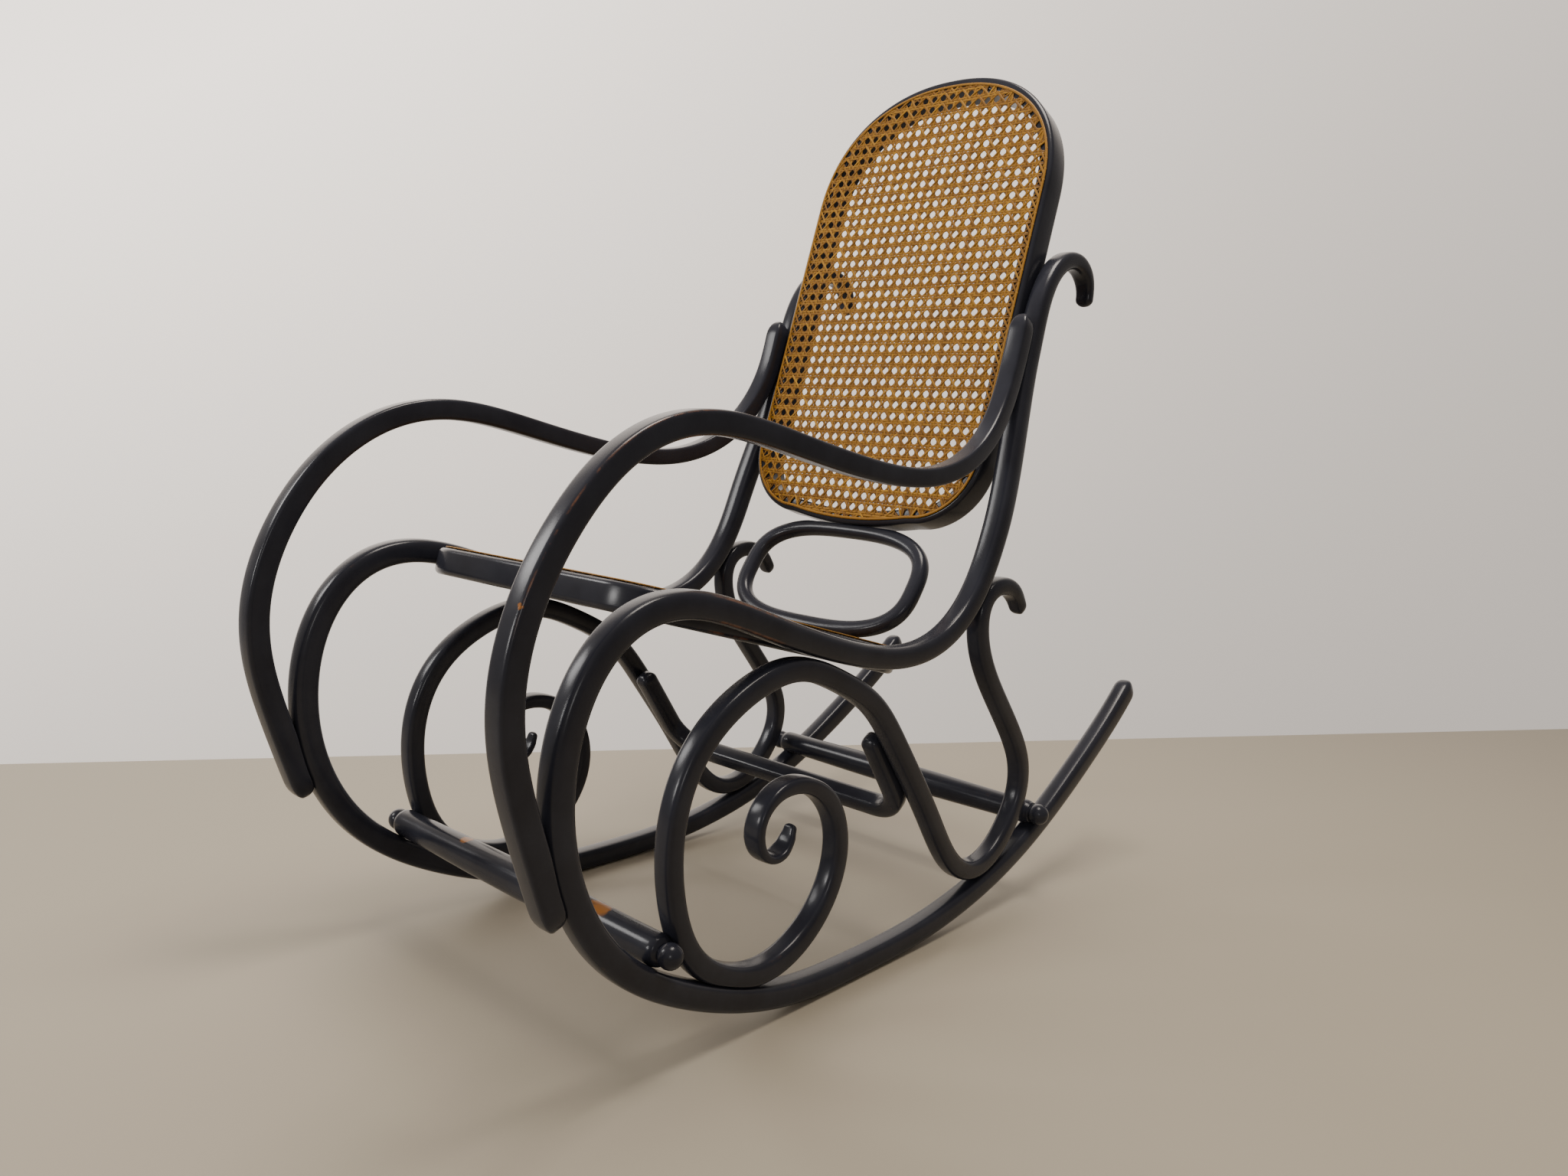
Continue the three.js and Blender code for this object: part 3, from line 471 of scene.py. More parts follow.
def close_to(spots, soft):
    """1 within the radius of any of the (place, radius) spots, both in metres, easing to 0 outside
    it: the least of the distances divided by their radii decides."""
    farther_than_any = 9.0
    nearest = farther_than_any
    for spot, radius in spots:
        away = add_node(tree, "ShaderNodeVectorMath", {"operation": "DISTANCE"}, i0=ragged, i1=spot)
        away = add_node(tree, "ShaderNodeMath", {"operation": "DIVIDE"}, i0=away.outputs["Value"], i1=radius)
        nearest = add_node(tree, "ShaderNodeMath", {"operation": "MINIMUM"}, i0=away, i1=nearest)
    return add_node(tree, "ShaderNodeMapRange", SMOOTH,
                    Value=nearest, i1=1.0 - soft, i2=1.0 + soft, i3=1.0, i4=0.0)


# hands have rubbed the left arm's front and the rail's top down to the stain along their ridges
HANDLED = [((0.224, -0.522, 0.505), 0.075), ((0.227, -0.3, 0.42), 0.05), ((0.22, -0.42, 0.586), 0.06)]
handled = close_to(HANDLED, 0.35)
patchy = add_node(tree, "ShaderNodeMapRange", Value=rub, i1=0.44, i2=0.56, i3=0.0, i4=0.9)
handled = add_node(tree, "ShaderNodeMath", {"operation": "MULTIPLY"}, i0=handled, i1=patchy)
handled = add_node(tree, "ShaderNodeMath", {"operation": "MULTIPLY"}, i0=handled, i1=ridge)
mixed = add_node(tree, "ShaderNodeMix", {"data_type": "RGBA"}, i0=handled,
                 i6=mixed.outputs[2], i7=colour(0x6B4A3A))
# a chip on the left rail and scuffed patches on the front stretcher, where the wood shows
BARE = [((0.2239, -0.5564, 0.4414), 0.0022), ((0.137, -0.388, 0.132), 0.010),
        ((0.125, -0.384, 0.136), 0.006), ((-0.09, -0.386, 0.134), 0.007)]
bare = close_to(BARE, 0.3)
mixed = add_node(tree, "ShaderNodeMix", {"data_type": "RGBA"}, i0=bare,
                 i6=mixed.outputs[2], i7=colour(0x96602A))
gloss = add_node(tree, "ShaderNodeMapRange", Value=rub, i1=0.3, i2=0.7, i3=0.2, i4=0.25)
tree.links.new(mixed.outputs[2], shader.inputs["Base Color"])
tree.links.new(gloss.outputs[0], shader.inputs["Roughness"])
shader.inputs["IOR"].default_value = 1.34
# the wood's grain under the coat, in streaks 45 mm long and about 6 mm wide
grain = add_node(tree, "ShaderNodeMapping", Vector=laid)
grain.inputs["Scale"].default_value = (22.0, 14.0, 1.0)
grain = add_node(tree, "ShaderNodeTexNoise", Vector=grain, Scale=1.0, Detail=5.0, Roughness=0.6)
bump = add_node(tree, "ShaderNodeBump", Strength=0.02, Distance=0.0006, Height=grain)
tree.links.new(bump.outputs[0], shader.inputs["Normal"])

# Rattan cane: honey-coloured satin skin on every strand, with darker strands among the light
# ones, fine fibres along each strand, and painted brown shade where strands pass under one
# another and towards each strand's edges.
cane, tree, shader = blank("woven_rattan_cane")
laid = add_node(tree, "ShaderNodeUVMap", {"uv_map": "along_round"})
marks = add_node(tree, "ShaderNodeVertexColor", {"layer_name": "strand"})
marks = add_node(tree, "ShaderNodeSeparateColor", Color=marks)
# fibres 17 mm long and just under 1 mm wide, coarser than the real ones, which wouldn't show
fibre = add_node(tree, "ShaderNodeMapping", Vector=laid)
fibre.inputs["Scale"].default_value = (60.0, 9.0, 1.0)
fibre = add_node(tree, "ShaderNodeTexNoise", Vector=fibre, Scale=1.0, Detail=3.0, Roughness=0.6)
tone = add_node(tree, "ShaderNodeMath", {"operation": "MULTIPLY_ADD"},
                i0=fibre, i1=0.45, i2=marks.outputs["Red"])
honey = stops(add_node(tree, "ShaderNodeValToRGB", Fac=tone),
              (0.05, colour(0x573704)), (0.45, colour(0x84590A)), (0.95, colour(0xB4841F)))
# painted shade: the green share of the strand colour darkens the honey towards deep brown where a strand dips
# under others and near its edges
shaded = add_node(tree, "ShaderNodeMix", {"data_type": "RGBA"}, i0=marks.outputs["Green"],
                  i6=honey, i7=colour(0x3A1E08))
tree.links.new(shaded.outputs[2], shader.inputs["Base Color"])
shader.inputs["Roughness"].default_value = 0.5
shader.inputs["IOR"].default_value = 1.35
bump = add_node(tree, "ShaderNodeBump", Strength=0.25, Distance=0.0003, Height=fibre)
tree.links.new(bump.outputs[0], shader.inputs["Normal"])

# Rods. The rail is carried from its third place on, so that its rounded tip ends within the
# chair's length.

for side, word in ((1, "left"), (-1, "right")):
    bent_rod(f"{word}_runner_and_stile", rail_line[2:], (RAIL_SIZES, RAIL_DEPTHS), RAIL_SIZE, side,
             power=3.5, blunt=0.6, nodes=[f"side_rail_{word}"], planed=False)
    bent_rod(f"{word}_scroll_rod", scroll_line, (SCROLL_SIZES, SCROLL_DEPTHS), SCROLL_SIZE, side,
             power=3.6, blunt=0.7, nodes=[f"inner_scroll_{word}"])
    bent_rod(f"{word}_arm_rod", arm_line, (ARM_SIZES, ARM_SIZES), ARM_SIZE, side,
             power=5.8, blunt=0.9, nodes=[f"armrest_{word}"])


# Hoops


def arc(centre, radii, start, end, count, power=2.0):
    """Points of an arc of a superellipse, which is an ellipse at power 2 and squares its shoulders
    above: cosine and sine are raised to 2/power for the point, and to 2 - 2/power, divided by the
    radii, for its outward direction. The radii are a pair, or one number where they are equal."""
    angle = np.linspace(start, end, count)
    turn = np.stack([np.cos(angle), np.sin(angle)], -1)
    outward = np.sign(turn) * np.abs(turn) ** (2 - 2 / power) / radii
    spots = np.array(centre) + np.sign(turn) * np.abs(turn) ** (2 / power) * radii
    return spots, outward / np.linalg.norm(outward, axis=1, keepdims=True)


def closed_outline(arcs, step):
    """Arcs joined by straight runs into one closed outline, read at equal distances: its places,
    their outward directions and their distances along it. The directions are read along with the
    places, shrunk so as not to add to a distance."""
    shrunk = 1e-6
    spots = np.concatenate([a[0] for a in arcs] + [arcs[0][0][:1]])
    outward = np.concatenate([a[1] for a in arcs] + [arcs[0][1][:1]])
    line = evenly(np.concatenate([spots, outward * shrunk], axis=1), step)[:-1]
    spots, outward = line[:, :2], line[:, 2:] / np.linalg.norm(line[:, 2:], axis=1, keepdims=True)
    return spots, outward, np.arange(len(spots)) * np.linalg.norm(spots[1] - spots[0])


# The seat's depth, and its front edge's place; the back's length, and its foot's place
SEAT_DEPTH, SEAT_HEIGHT, SEAT_FRONT = 467.0, 444.0, 176.0
SEAT_WIDTH = RAIL_SPACING - RAIL_BY_SEAT - 2 * FIT_GAP
BACK_LENGTH, BACK_FOOT_ALONG, BACK_FOOT_HEIGHT = 631.0, 684.0, 483.0
QUARTER = math.pi / 2


def seat_outline(step=STEP):
    """Outline of the seat: straight sides with rounded front and wider rear corners."""
    half, front, rear = SEAT_WIDTH / 2, 78.0, 135.0
    return closed_outline([
        arc((half - front, front), front, -QUARTER, 0, 40),
        arc((half - rear, SEAT_DEPTH - rear), rear, 0, QUARTER, 60),
        arc((rear - half, SEAT_DEPTH - rear), rear, QUARTER, 2 * QUARTER, 60),
        arc((front - half, front), front, 2 * QUARTER, 3 * QUARTER, 40)], step)


def back_outline(step=STEP, lowered=0.0):
    """Outline of the back: an arch a little squarer than an ellipse, straight sides, quarter bends
    and a slightly bowed foot. The caned field follows it with an arch that is lowered a little."""
    half, rise, corner, bow = BACK_WIDTH / 2, 177.0, 92.0, 9.0
    run = half - corner
    radius = (run * run + bow * bow) / (2 * bow)
    lean = math.asin(run / radius)
    return closed_outline([
        arc((0, BACK_LENGTH - rise), (half, rise - lowered), 0, 2 * QUARTER, 240, power=2.23),
        arc((corner - half, corner + bow), corner, 2 * QUARTER, 3 * QUARTER - lean, 40),
        arc((0, radius), radius, 3 * QUARTER - lean, 3 * QUARTER + lean, 40),
        arc((half - corner, corner + bow), corner, 3 * QUARTER + lean, 4 * QUARTER, 40)], step)


def on_seat(u, v, rise):
    """Places in the seat's plane: u across, v rearward from its front edge, rise above its face."""
    return np.stack([u, SEAT_FRONT + v * math.cos(SEAT_TILT) + rise * math.sin(SEAT_TILT),
                     SEAT_HEIGHT - v * math.sin(SEAT_TILT) + rise * math.cos(SEAT_TILT)], -1)


def on_back(u, v, rise):
    """Places in the back's plane: u across, v up from its foot, rise in front of its face."""
    return np.stack([u, BACK_FOOT_ALONG + v * math.sin(BACK_LEAN) - rise * math.cos(BACK_LEAN),
                     BACK_FOOT_HEIGHT + v * math.cos(BACK_LEAN) + rise * math.sin(BACK_LEAN)], -1)


def rounded_bar(width, depth, radii, arc_steps=6):
    """Section of a rim: a rectangle from the outline inward and from its face down, with a corner
    radius for each corner (outer face, inner face, inner rear, outer rear), as (out, rise)."""
    centres = ((-radii[0], -radii[0], 90, 0), (-width + radii[1], -radii[1], 180, 90),
               (-width + radii[2], -depth + radii[2], 270, 180), (-radii[3], -depth + radii[3], 360, 270))
    rows = []
    for (out, rise, start, end), radius in zip(centres, radii):
        angle = np.radians(np.linspace(end, start, arc_steps))
        rows.append(np.stack([out + radius * np.cos(angle), rise + radius * np.sin(angle)], -1))
    return np.concatenate(rows)


def carried(spots, outward, section, lay, lifted=np.zeros(1)):
    """Rings of a section of (out, rise) carried along places in a plane: out follows the outward
    directions, and rise counts from how far each place is lifted off the face."""
    flat = spots[:, None, :] + outward[:, None, :] * section[:, :1]
    return lay(flat[..., 0], flat[..., 1], lifted[:, None] + section[:, 1])


def hoop(name, outline, section, lay, nodes):
    """A bar of rod round a closed outline, whose section is carried round it."""
    spots, outward, lengths = outline
    tube(name, carried(spots, outward, section, lay), lengths, nodes, closed=True)


# The back's bar is set in by a hair, which keeps the arch's crown within the chair's height
BACK_BAR_DEPTH, SET_IN = 42.0, 0.2
hoop("seat_hoop", seat_outline(), rounded_bar(29.0, 29.0, (5.2, 3.0, 5.0, 6.5)), on_seat, ["seat_frame"])
hoop("back_hoop", back_outline(), rounded_bar(19.0, BACK_BAR_DEPTH, (5.2, 3.0, 6.5, 8.5)) - (SET_IN, 0),
     on_back, ["back_frame"])

# Oval ring: its two bars are planed flat, one under the back's foot, one on the strand round the seat
RING_WIDTH, RING_POWER, STRAND_CROWN = 293.0, 2.9, 2.4
RING_UNDER_BACK, RING_BEHIND_FACE = 6.8, 0.34 * BACK_BAR_DEPTH
RING_BEFORE_REAR, RING_OVER_STRAND = 14.0, 9.5
ring_top = on_back(0.0, -RING_UNDER_BACK, -RING_BEHIND_FACE)
ring_bottom = on_seat(0.0, SEAT_DEPTH - RING_BEFORE_REAR, RING_OVER_STRAND + STRAND_CROWN)
ring_half = np.linalg.norm(ring_top - ring_bottom) / 2
ring_up = (ring_top - ring_bottom) / (2 * ring_half)
ring_rear = np.array([0, ring_up[2], -ring_up[1]])
ACROSS = np.array([1.0, 0, 0])


def on_ring(u, v, rise):
    """Places in the ring's plane: u across, v up from its middle, rise in front of it. What would
    enter the back's foot or the seat is cut back along the plane, which leaves two flats."""
    middle = (ring_top + ring_bottom) / 2
    spots = middle + v[..., None] * ring_up - rise[..., None] * ring_rear + u[..., None] * ACROSS
    for face, lean, outward in ((on_back(0.0, -FIT_GAP, 0.0), BACK_LEAN, 1),
                                (on_seat(0.0, SEAT_DEPTH, STRAND_CROWN + FIT_GAP), SEAT_TILT, -1)):
        normal = outward * np.array([0, math.sin(lean), math.cos(lean)])
        over = np.maximum((spots - face) @ normal, 0)
        spots = spots - over[..., None] * ring_up / (ring_up @ normal)
    return spots


ring_outline = closed_outline([
    arc((0, 0), ((RING_WIDTH - RING_SIZE) / 2, ring_half), 0, 4 * QUARTER, 480, RING_POWER)], 3.0)
hoop("oval_ring", ring_outline, soft_square(2.5) * RING_SIZE, on_ring, ["back_ring"])


# Turned bars between the runners


def turned_bar(name, node, middle, end, knob, waist):
    """A turned bar: a profile of (radius, distance from the middle) spun round the x axis. It
    swells towards its middle, rounds in at a shoulder beside each rail, to a waist whose size is
    given as a share of the knob's, and ends in a knob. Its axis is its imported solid's."""
    low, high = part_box(node)
    axis = [(low[k] + high[k]) / 2 * METRE - FRONT_TO_MIDDLE[k] for k in (1, 2)]
    rail, neck, around = RAIL_SPACING / 2, RAIL_SPACING / 2 + 6.0, 32
    knob_middle = neck + knob / 2 * 0.72
    shares = np.linspace(0, 1, 60)
    swell = 1 - (1 - shares**2) ** 2
    bar = np.stack([(middle + (end - middle) * swell) / 2, shares * (rail - RAIL_SIZE / 2)], -1)
    shoulder = np.array([[end / 2, rail - 3], [end / 2 * 0.985, rail - 0.5],
                         [end / 2 * 0.93, neck - 3.4], [end / 2 * 0.86, neck - 1.6],
                         [knob / 2 * (waist + 0.05), neck - 0.4], [knob / 2 * waist, neck + 0.3]])
    angle = np.radians(np.linspace(138, 6, 16))
    ball = np.stack([knob / 2 * np.sin(angle), knob_middle + knob / 2 * np.cos(angle)], -1)
    half = np.concatenate([bar, shoulder, ball])
    profile = np.concatenate([half[::-1] * (1, -1), half[1:]])
    spin = np.arange(around) * 2 * math.pi / around
    rings = np.stack([np.broadcast_to(profile[:, 1:], (len(profile), around)),
                      axis[0] + profile[:, :1] * np.cos(spin), axis[1] + profile[:, :1] * np.sin(spin)], -1)
    tube(name, rings, profile[:, 1] - profile[0, 1], [node])


turned_bar("front_foot_bar", "front_stretcher", middle=35.5, end=31.0, knob=24.4, waist=0.74)
turned_bar("rear_foot_bar", "rear_stretcher", middle=36.0, end=31.5, knob=28.0, waist=0.93)


# Brace: a U of rod between the scrolls' diagonals. The shares are where its arms start and where
# its foot lies.
BRACE_SHARES = [(0.457, 0.237), (0.52, 0.146)]
BRACE_BEND = 42.0


def brace_rod():
    """The U's outline is two straight arms and two quarter bends in the plane of the scrolls'
    diagonals, swept with the softened square."""
    arm_x = side_x(0.0) - SCROLL_BY_RAIL / 2 - FIT_GAP - BRACE_SIZE / 2
    start, foot = on_side(BRACE_SHARES)
    length = np.linalg.norm(foot - start)
    fall = (foot - start) / length
    through = np.array([0, fall[1], -fall[0]])
    near, _ = arc((arm_x - BRACE_BEND, length - BRACE_BEND), BRACE_BEND, 0, QUARTER, 24)
    path = np.concatenate([[[arm_x, 0.0]], near, (near * (-1, 1))[::-1], [[-arm_x, 0.0]]])
    path = evenly(path, STEP)
    along, inward = directions(path)
    spots, sizes, extra = with_tips(path, along, np.full(len(path), BRACE_SIZE), blunt=0.45)
    inward = np.pad(inward, ((extra, extra), (0, 0)), mode="edge")
    across, deep = (part * sizes[:, None] for part in soft_square(3.6, 24).T)
    flat = spots[:, None, :] + inward[:, None, :] * across[..., None]
    rings = (np.array([0, *start]) + flat[..., :1] * ACROSS
             + flat[..., 1:] * np.array([0, *fall]) + deep[..., None] * through)
    tube("under_seat_u_brace", rings, run_along(spots), ["seat_brace"])


brace_rod()

# Woven cane. Pitches are across and up; rises are over the frame's face. A strand sinks from
# MID_RISE to the rise at its hole over SETTLING. A pair's strands lie PAIR_AT_HOLE off its middle
# line there and PAIR_SPREADS more beyond. Tones are (mean, spread, most), from dark at 0 to light.

PITCHES = np.array([14.6, 15.7])
PITCH = PITCHES.mean()
HOLE_INSET, ARCH_LOWERED = 7.4, 5.0
STRAND_THICKNESS, STRAND_WIDTH, DIAGONAL_WIDTH, LOOP_WIDTH = 0.62, 3.15, 2.9, 1.7
MID_RISE, SETTLING = 1.45, 9.0
PAIR_AT_HOLE, PAIR_SPREADS = 0.5, 1.08
PAIR_HOLE_RISE, DIAGONAL_HOLE_RISE = 0.75, 1.3
STRAND_TONE, DIAGONAL_TONE, LOOP_TONE = (0.32, 0.12, 0.75), (0.34, 0.14, 0.8), (0.4, 0.12, 0.8)
EDGE_TONE, FIBRE_SHIFT = 0.34, 900.0
# painted shade: how much a strand's dip under others and its ribbon's edges darken its colour
DIP_SHADE, EDGE_SHADE = 0.62, 0.42
rng = np.random.default_rng(7)


def strands(name, lines, width, tones, lay, nodes):
    """Ribbons of cane: a six-sided domed section carried along each line of (across, up, rise).
    Each point keeps the strand's tone, and a painted shade: darker by how far it dips under the
    strands over it, and by how near it is to the ribbon's edges. The fibres start elsewhere on each strand."""
    dome = np.array([(-0.5, -0.3), (-0.38, 0.3), (0, 0.5), (0.38, 0.3), (0.5, -0.3), (0, -0.42)])
    edge = np.array([0.75, 0.2, 0.0, 0.2, 0.75, 1.0])
    around = len(dome)
    points, quads, laid, marks, count = [], [], [], [], 0
    for line, tone in zip(lines, tones):
        _, beside = directions(line[:, :2])
        rings = carried(line[:, :2], beside, dome * (width, STRAND_THICKNESS), lay, line[:, 2])
        points.append(rings.reshape(-1, 3))
        faces, step, turn = ring_faces(len(line), around, False)
        last = (len(line) - 1) * around
        caps = np.array([[0, 5, 4, 3], [0, 3, 2, 1],
                         [last + 3, last + 4, last + 5, last], [last + 1, last + 2, last + 3, last]])
        quads.append(np.concatenate([faces, caps]) + count)
        run = run_along(line[:, :2]) + tone * FIBRE_SHIFT
        laid += [np.stack([run[step] / METRE, turn / around], -1), np.zeros((4, 4, 2))]
        # painted shade: darker as the strand sinks below MID_RISE under the strands over it, and towards the
        # ribbon's edges
        dip = np.clip((MID_RISE - line[:, 2]) / STRAND_THICKNESS, 0, 1)
        dark = np.clip(DIP_SHADE * dip[:, None] + EDGE_SHADE * edge[None, :], 0, 1)
        marks.append(np.stack([dark * 0 + tone, dark, dark * 0, dark * 0 + 1], -1).reshape(-1, 4))
        count += len(line) * around
    piece(name, np.concatenate(points), np.concatenate(quads), NO_TRIS,
          (np.concatenate(laid), NO_TRIS_LAID), cane, nodes, np.concatenate(marks))


def crossing(outline, direction, offset):
    """Where the straight line with this direction and offset enters and leaves a convex outline,
    as distances along the line."""
    side = outline @ (-direction[1], direction[0]) - offset
    ahead = np.roll(side, -1)
    k = np.nonzero(side * ahead < 0)[0]
    t = side[k] / (side[k] - ahead[k])
    reach = (outline[k] + (np.roll(outline, -1, axis=0)[k] - outline[k]) * t[:, None]) @ direction
    return (reach.min(), reach.max()) if len(reach) >= 2 else None


def settled(at, ends):
    """0 at a strand's two holes, growing evenly to 1 at SETTLING from them."""
    return np.clip(np.minimum(at - ends[0], ends[1] - at) / SETTLING, 0, 1)


def wavering(at, width, length):
    """How a hand-laid strand wavers: width times the sine of the distance by length, from a phase
    drawn at random."""
    return width * np.sin(at / length + rng.uniform(0, 6))


def toned(tone, count=None):
    """A strand's tone, or the tones of a count of strands, drawn at random round the mean."""
    mean, spread, most = tone
    return np.clip(rng.normal(mean, spread, count), 0, most)


def weave(word, outline, lay, nodes):
    """Cane woven in the six-way pattern. Pairs of uprights and of crossbars interlace at each
    knot, which lies on a lattice of one pitch across and one up, one strand under and one over.
    Diagonals pass halfway between knots: one family over the uprights and under the crossbars, the
    other the reverse, so their rise is a cosine of half a lattice diagonal. Where a pair crosses
    another, its rise is a bump: the distance from the knot times a bell curve, crossed wide. Every
    strand ends in a hole drilled in the frame, where it settles on the frame's face; a diagonal is
    drawn to a pair's hole within near_hole pitches, over the last drawn_over pitches."""
    crossed, bulge, near_hole, drawn_over, reading = 1.5, 0.55, 0.8, 1.15, 2.7
    spots, outward, _ = outline
    edge = spots - outward * HOLE_INSET
    low, high = edge.min(axis=0), edge.max(axis=0)
    middle = (low + high) / 2
    count = np.floor((high - low - 0.6 * PITCHES) / PITCHES / 2).astype(int)
    lattice = [middle[k] + PITCHES[k] * np.arange(-count[k], count[k] + 1) for k in range(2)]
    fractions = np.array([-0.5, -0.33, -0.2, -0.1, 0.0, 0.1, 0.2, 0.33])
    holes = []
    for family, title in enumerate(("uprights", "crossbars")):
        direction, weaving = np.eye(2)[1 - family], 1 - 2 * family
        lines, tones = [], []
        for where in lattice[family]:
            ends = crossing(edge, direction, -weaving * where)
            if ends is None or ends[1] - ends[0] < PITCH:
                continue
            knots = lattice[1 - family]
            at = (knots[:, None] + fractions * PITCHES[1 - family]).ravel()
            at = at[(at > ends[0] + 1) & (at < ends[1] - 1)]
            at = np.concatenate([[ends[0]], at, [ends[1]]])
            holes += [direction * end + (1 - direction) * where for end in ends]
            for pair in (-1, 1):
                near = knots[np.argmin(np.abs(at[:, None] - knots[None, :]), axis=1)]
                off = (at - near) / crossed
                bump = off * np.exp((1 - off * off) / 2)
                rise = MID_RISE + weaving * pair * bump * STRAND_THICKNESS * bulge
                free = settled(at, ends)
                rise = PAIR_HOLE_RISE + (rise - PAIR_HOLE_RISE) * free
                apart = pair * (PAIR_AT_HOLE + PAIR_SPREADS * free)
                across = where + (apart + wavering(at, 0.22, 31.0) * free)
                lines.append(np.stack([across, at, rise] if family == 0 else [at, across, rise], -1))
                tones.append(toned(STRAND_TONE))
        strands(f"{word}_weave_{title}", lines, STRAND_WIDTH, tones, lay, nodes)
    holes = np.array(holes)
    lines, tones = [], []
    for family in (1, -1):
        direction = PITCHES * (1, family) / np.linalg.norm(PITCHES)
        normal = np.array([-direction[1], direction[0]])
        start = normal @ np.array([lattice[0][0], lattice[1][0]])
        offsets = start + (np.arange(-90, 90) + 0.5) * PITCHES[1] * direction[0]
        for offset in offsets:
            ends = crossing(edge, direction, offset)
            if ends is None or ends[1] - ends[0] < near_hole * PITCH:
                continue
            at = np.linspace(*ends, int((ends[1] - ends[0]) / reading) + 2)
            flat = at[:, None] * direction + offset * normal
            phase = (flat[:, 0] - lattice[0][0]) / PITCHES[0] * math.pi
            rise = MID_RISE + family * STRAND_THICKNESS * np.cos(phase)
            for end, which in ((ends[0], 0), (ends[1], -1)):
                pull = holes[np.argmin(np.linalg.norm(holes - flat[which], axis=1))] - flat[which]
                if np.linalg.norm(pull) < near_hole * PITCH:
                    near = np.clip(1 - np.abs(at - end) / (drawn_over * PITCH), 0, 1)
                    flat = flat + pull * near[:, None]
            free = settled(at, ends)
            rise = DIAGONAL_HOLE_RISE + (rise - DIAGONAL_HOLE_RISE) * free
            flat = flat + normal * (wavering(at, 0.2, 27.0) * free)[:, None]
            lines.append(np.concatenate([flat, rise[:, None]], -1))
            tones.append(toned(DIAGONAL_TONE))
    strands(f"{word}_weave_diagonals", lines, DIAGONAL_WIDTH, tones, lay, nodes)


def over_holes(reach, foot, rise, past):
    """An arch across the line of the holes, as (out, rise): reach times the cosine, and rise times
    the sine over its foot, of an angle that goes past half a turn by so many degrees at each end."""
    turn = np.radians(np.linspace(180 + past, -past, 9))
    return np.stack([-HOLE_INSET - reach * np.cos(turn), foot + rise * np.sin(turn)], -1)


def edge_strand(word, outline, lay, nodes):
    """The wide strand laid over the holes round a panel, domed, with a short loop of fine cane
    over it at every hole."""
    spots, outward, lengths = outline
    dome = over_holes(1.8, 1.4, 1.0, past=20)
    rings = carried(spots, outward, dome, lay)
    quads, step, turn = ring_faces(len(rings), len(dome), True)
    laid = np.stack([lengths[np.minimum(step, len(lengths) - 1)] / METRE, turn / len(dome)], -1)
    # painted shade: the wide strand is darker towards its two edges and unshaded along its crown
    edges = np.array([0.56, 0.245, 0.07, 0, 0, 0, 0.07, 0.245, 0.56])
    dark = np.broadcast_to(edges, rings.shape[:2])
    marks = np.stack([dark * 0 + EDGE_TONE, dark, dark * 0, dark * 0 + 1], -1).reshape(-1, 4)
    piece(f"{word}_edge_strand", rings.reshape(-1, 3), quads, NO_TRIS, (laid, NO_TRIS_LAID),
          cane, nodes, marks)
    total = lengths[-1] + lengths[1]
    count = int(total / PITCH)
    stations = (np.arange(count) + 0.5) * total / count
    k = np.clip(np.searchsorted(lengths, stations), 0, len(spots) - 1)
    loop = over_holes(1.95, 1.15, 1.02, past=25)
    lines = [np.concatenate([spot + out * loop[:, :1], loop[:, 1:]], -1)
             for spot, out in zip(spots[k], outward[k])]
    strands(f"{word}_edge_loops", lines, LOOP_WIDTH, toned(LOOP_TONE, count), lay, nodes)


weave("back", back_outline(2.0, ARCH_LOWERED), on_back, ["back_cane"])
weave("seat", seat_outline(2.0), on_seat, ["seat_cane"])
edge_strand("back", back_outline(3.0, ARCH_LOWERED), on_back, ["back_binding"])
edge_strand("seat", seat_outline(3.0), on_seat, ["seat_binding"])

# Stage: a plain pale floor that ends where the photograph's wall begins, and soft light

floor_paint, tree, shader = blank("pale_painted_floor")
shader.inputs["Base Color"].default_value = colour(0xA09786)
shader.inputs["Roughness"].default_value = 0.6
WALL_LINE = Vector((-1.112, -0.559)), Vector((0.602, 2.484))
FLOOR_PAST, FLOOR_DEEP = 8, 12
along_wall = (WALL_LINE[1] - WALL_LINE[0]).normalized()
into_room = Vector((along_wall.y, -along_wall.x))
corners = [WALL_LINE[0] - along_wall * FLOOR_PAST, WALL_LINE[1] + along_wall * FLOOR_PAST]
corners += [corners[1] + into_room * FLOOR_DEEP, corners[0] + into_room * FLOOR_DEEP]
floor_mesh = bpy.data.meshes.new("floor")
floor_mesh.from_pydata([(*corner, 0) for corner in corners], [], [(3, 2, 1, 0)])
floor_mesh.materials.append(floor_paint)
floor = bpy.data.objects.new("floor", floor_mesh)
bpy.context.scene.collection.objects.link(floor)

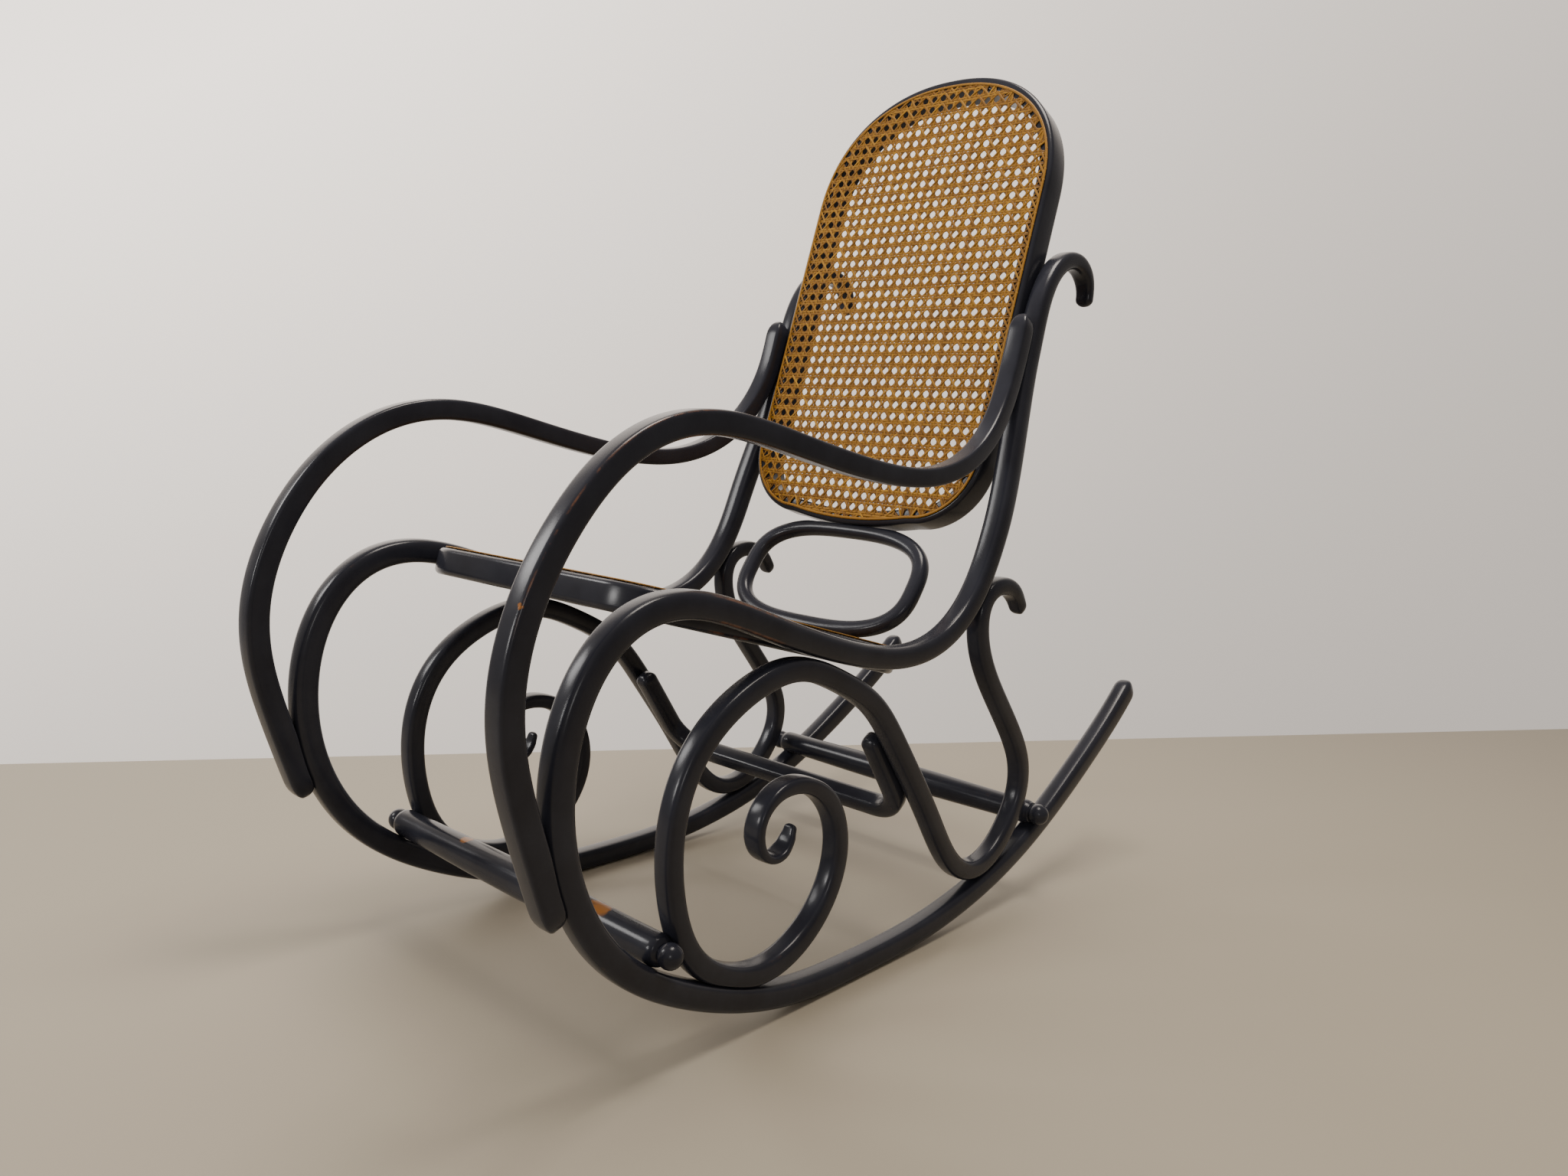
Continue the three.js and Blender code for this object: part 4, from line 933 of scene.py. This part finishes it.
# The room around: a pale wall behind the chair that brightens upwards and towards the sitter's
# right, as an exponential of the direction, and a dimmer, more even room elsewhere
TO_WALL, TO_WALL_SIDE = (-0.6491, 0.7514, -0.1182), (-0.7493, -0.6585, -0.0704)
TO_WALL_TOP = (-0.1307, 0.0429, 0.9904)
TO_BRIGHTEST, BRIGHTEST = (-0.62, -0.35, 1.16), 2.6
world = bpy.data.worlds.new("pale_room")
bpy.context.scene.world = world
world.use_nodes = True
tree = world.node_tree
sky = add_node(tree, "ShaderNodeTexCoord").outputs["Generated"]
ahead, beside, above, rise = (
    add_node(tree, "ShaderNodeVectorMath", {"operation": "DOT_PRODUCT"}, i0=sky, i1=towards).outputs["Value"]
    for towards in (TO_WALL, TO_WALL_SIDE, TO_WALL_TOP, TO_BRIGHTEST))
corner = add_node(tree, "ShaderNodeMath", {"operation": "MULTIPLY"}, i0=beside, i1=above)
swell = add_node(tree, "ShaderNodeMath", {"operation": "MULTIPLY_ADD"}, i0=corner, i1=0.9, i2=rise)
swing = add_node(tree, "ShaderNodeMapRange", SMOOTH, Value=ahead, i1=0.25, i2=0.75, i3=0.35, i4=1.0)
swell = add_node(tree, "ShaderNodeMath", {"operation": "MULTIPLY"}, i0=swell, i1=swing)
spread = add_node(tree, "ShaderNodeMath", {"operation": "EXPONENT"}, i0=swell)
plateau = add_node(tree, "ShaderNodeMapRange", SMOOTH, Value=ahead, i1=0.25, i2=0.75, i3=0.28, i4=1.08)
strength = add_node(tree, "ShaderNodeMath", {"operation": "MULTIPLY"}, i0=plateau, i1=spread)
strength = add_node(tree, "ShaderNodeMath", {"operation": "MINIMUM"}, i0=strength, i1=BRIGHTEST)
wall_tint = tree.nodes["Background"]
wall_tint.inputs["Color"].default_value = colour(0xFBF0E5)
tree.links.new(strength.outputs[0], wall_tint.inputs["Strength"])


def soft_light(name, place, aim, size, power, tint):
    """A square area light at a place, turned to its aim: its size in metres, its power in watts."""
    light = bpy.data.lights.new(name, "AREA")
    light.shape, light.size, light.energy = "SQUARE", size, power
    light.color = colour(tint)[:3]
    lamp = bpy.data.objects.new(name, light)
    lamp.location = place
    lamp.rotation_euler = (Vector(aim) - Vector(place)).to_track_quat("-Z", "Y").to_euler()
    bpy.context.scene.collection.objects.link(lamp)


soft_light("ceiling_softbox", (0.3, 0.1, 2.9), (0, 0, 0.4), 1.1, 68, 0xFFF5EA)
soft_light("window_left", (-2.2, -2.0, 2.0), (0, 0, 0.4), 0.9, 36, 0xF8F6F4)
soft_light("window_front", (-0.95, -2.9, 1.05), (0, -0.2, 0.45), 0.5, 18, 0xF8F6F4)
soft_light("window_behind", (2.05, -2.3, 1.25), (0, 0, 0.45), 0.6, 8, 0xF8F6F4)
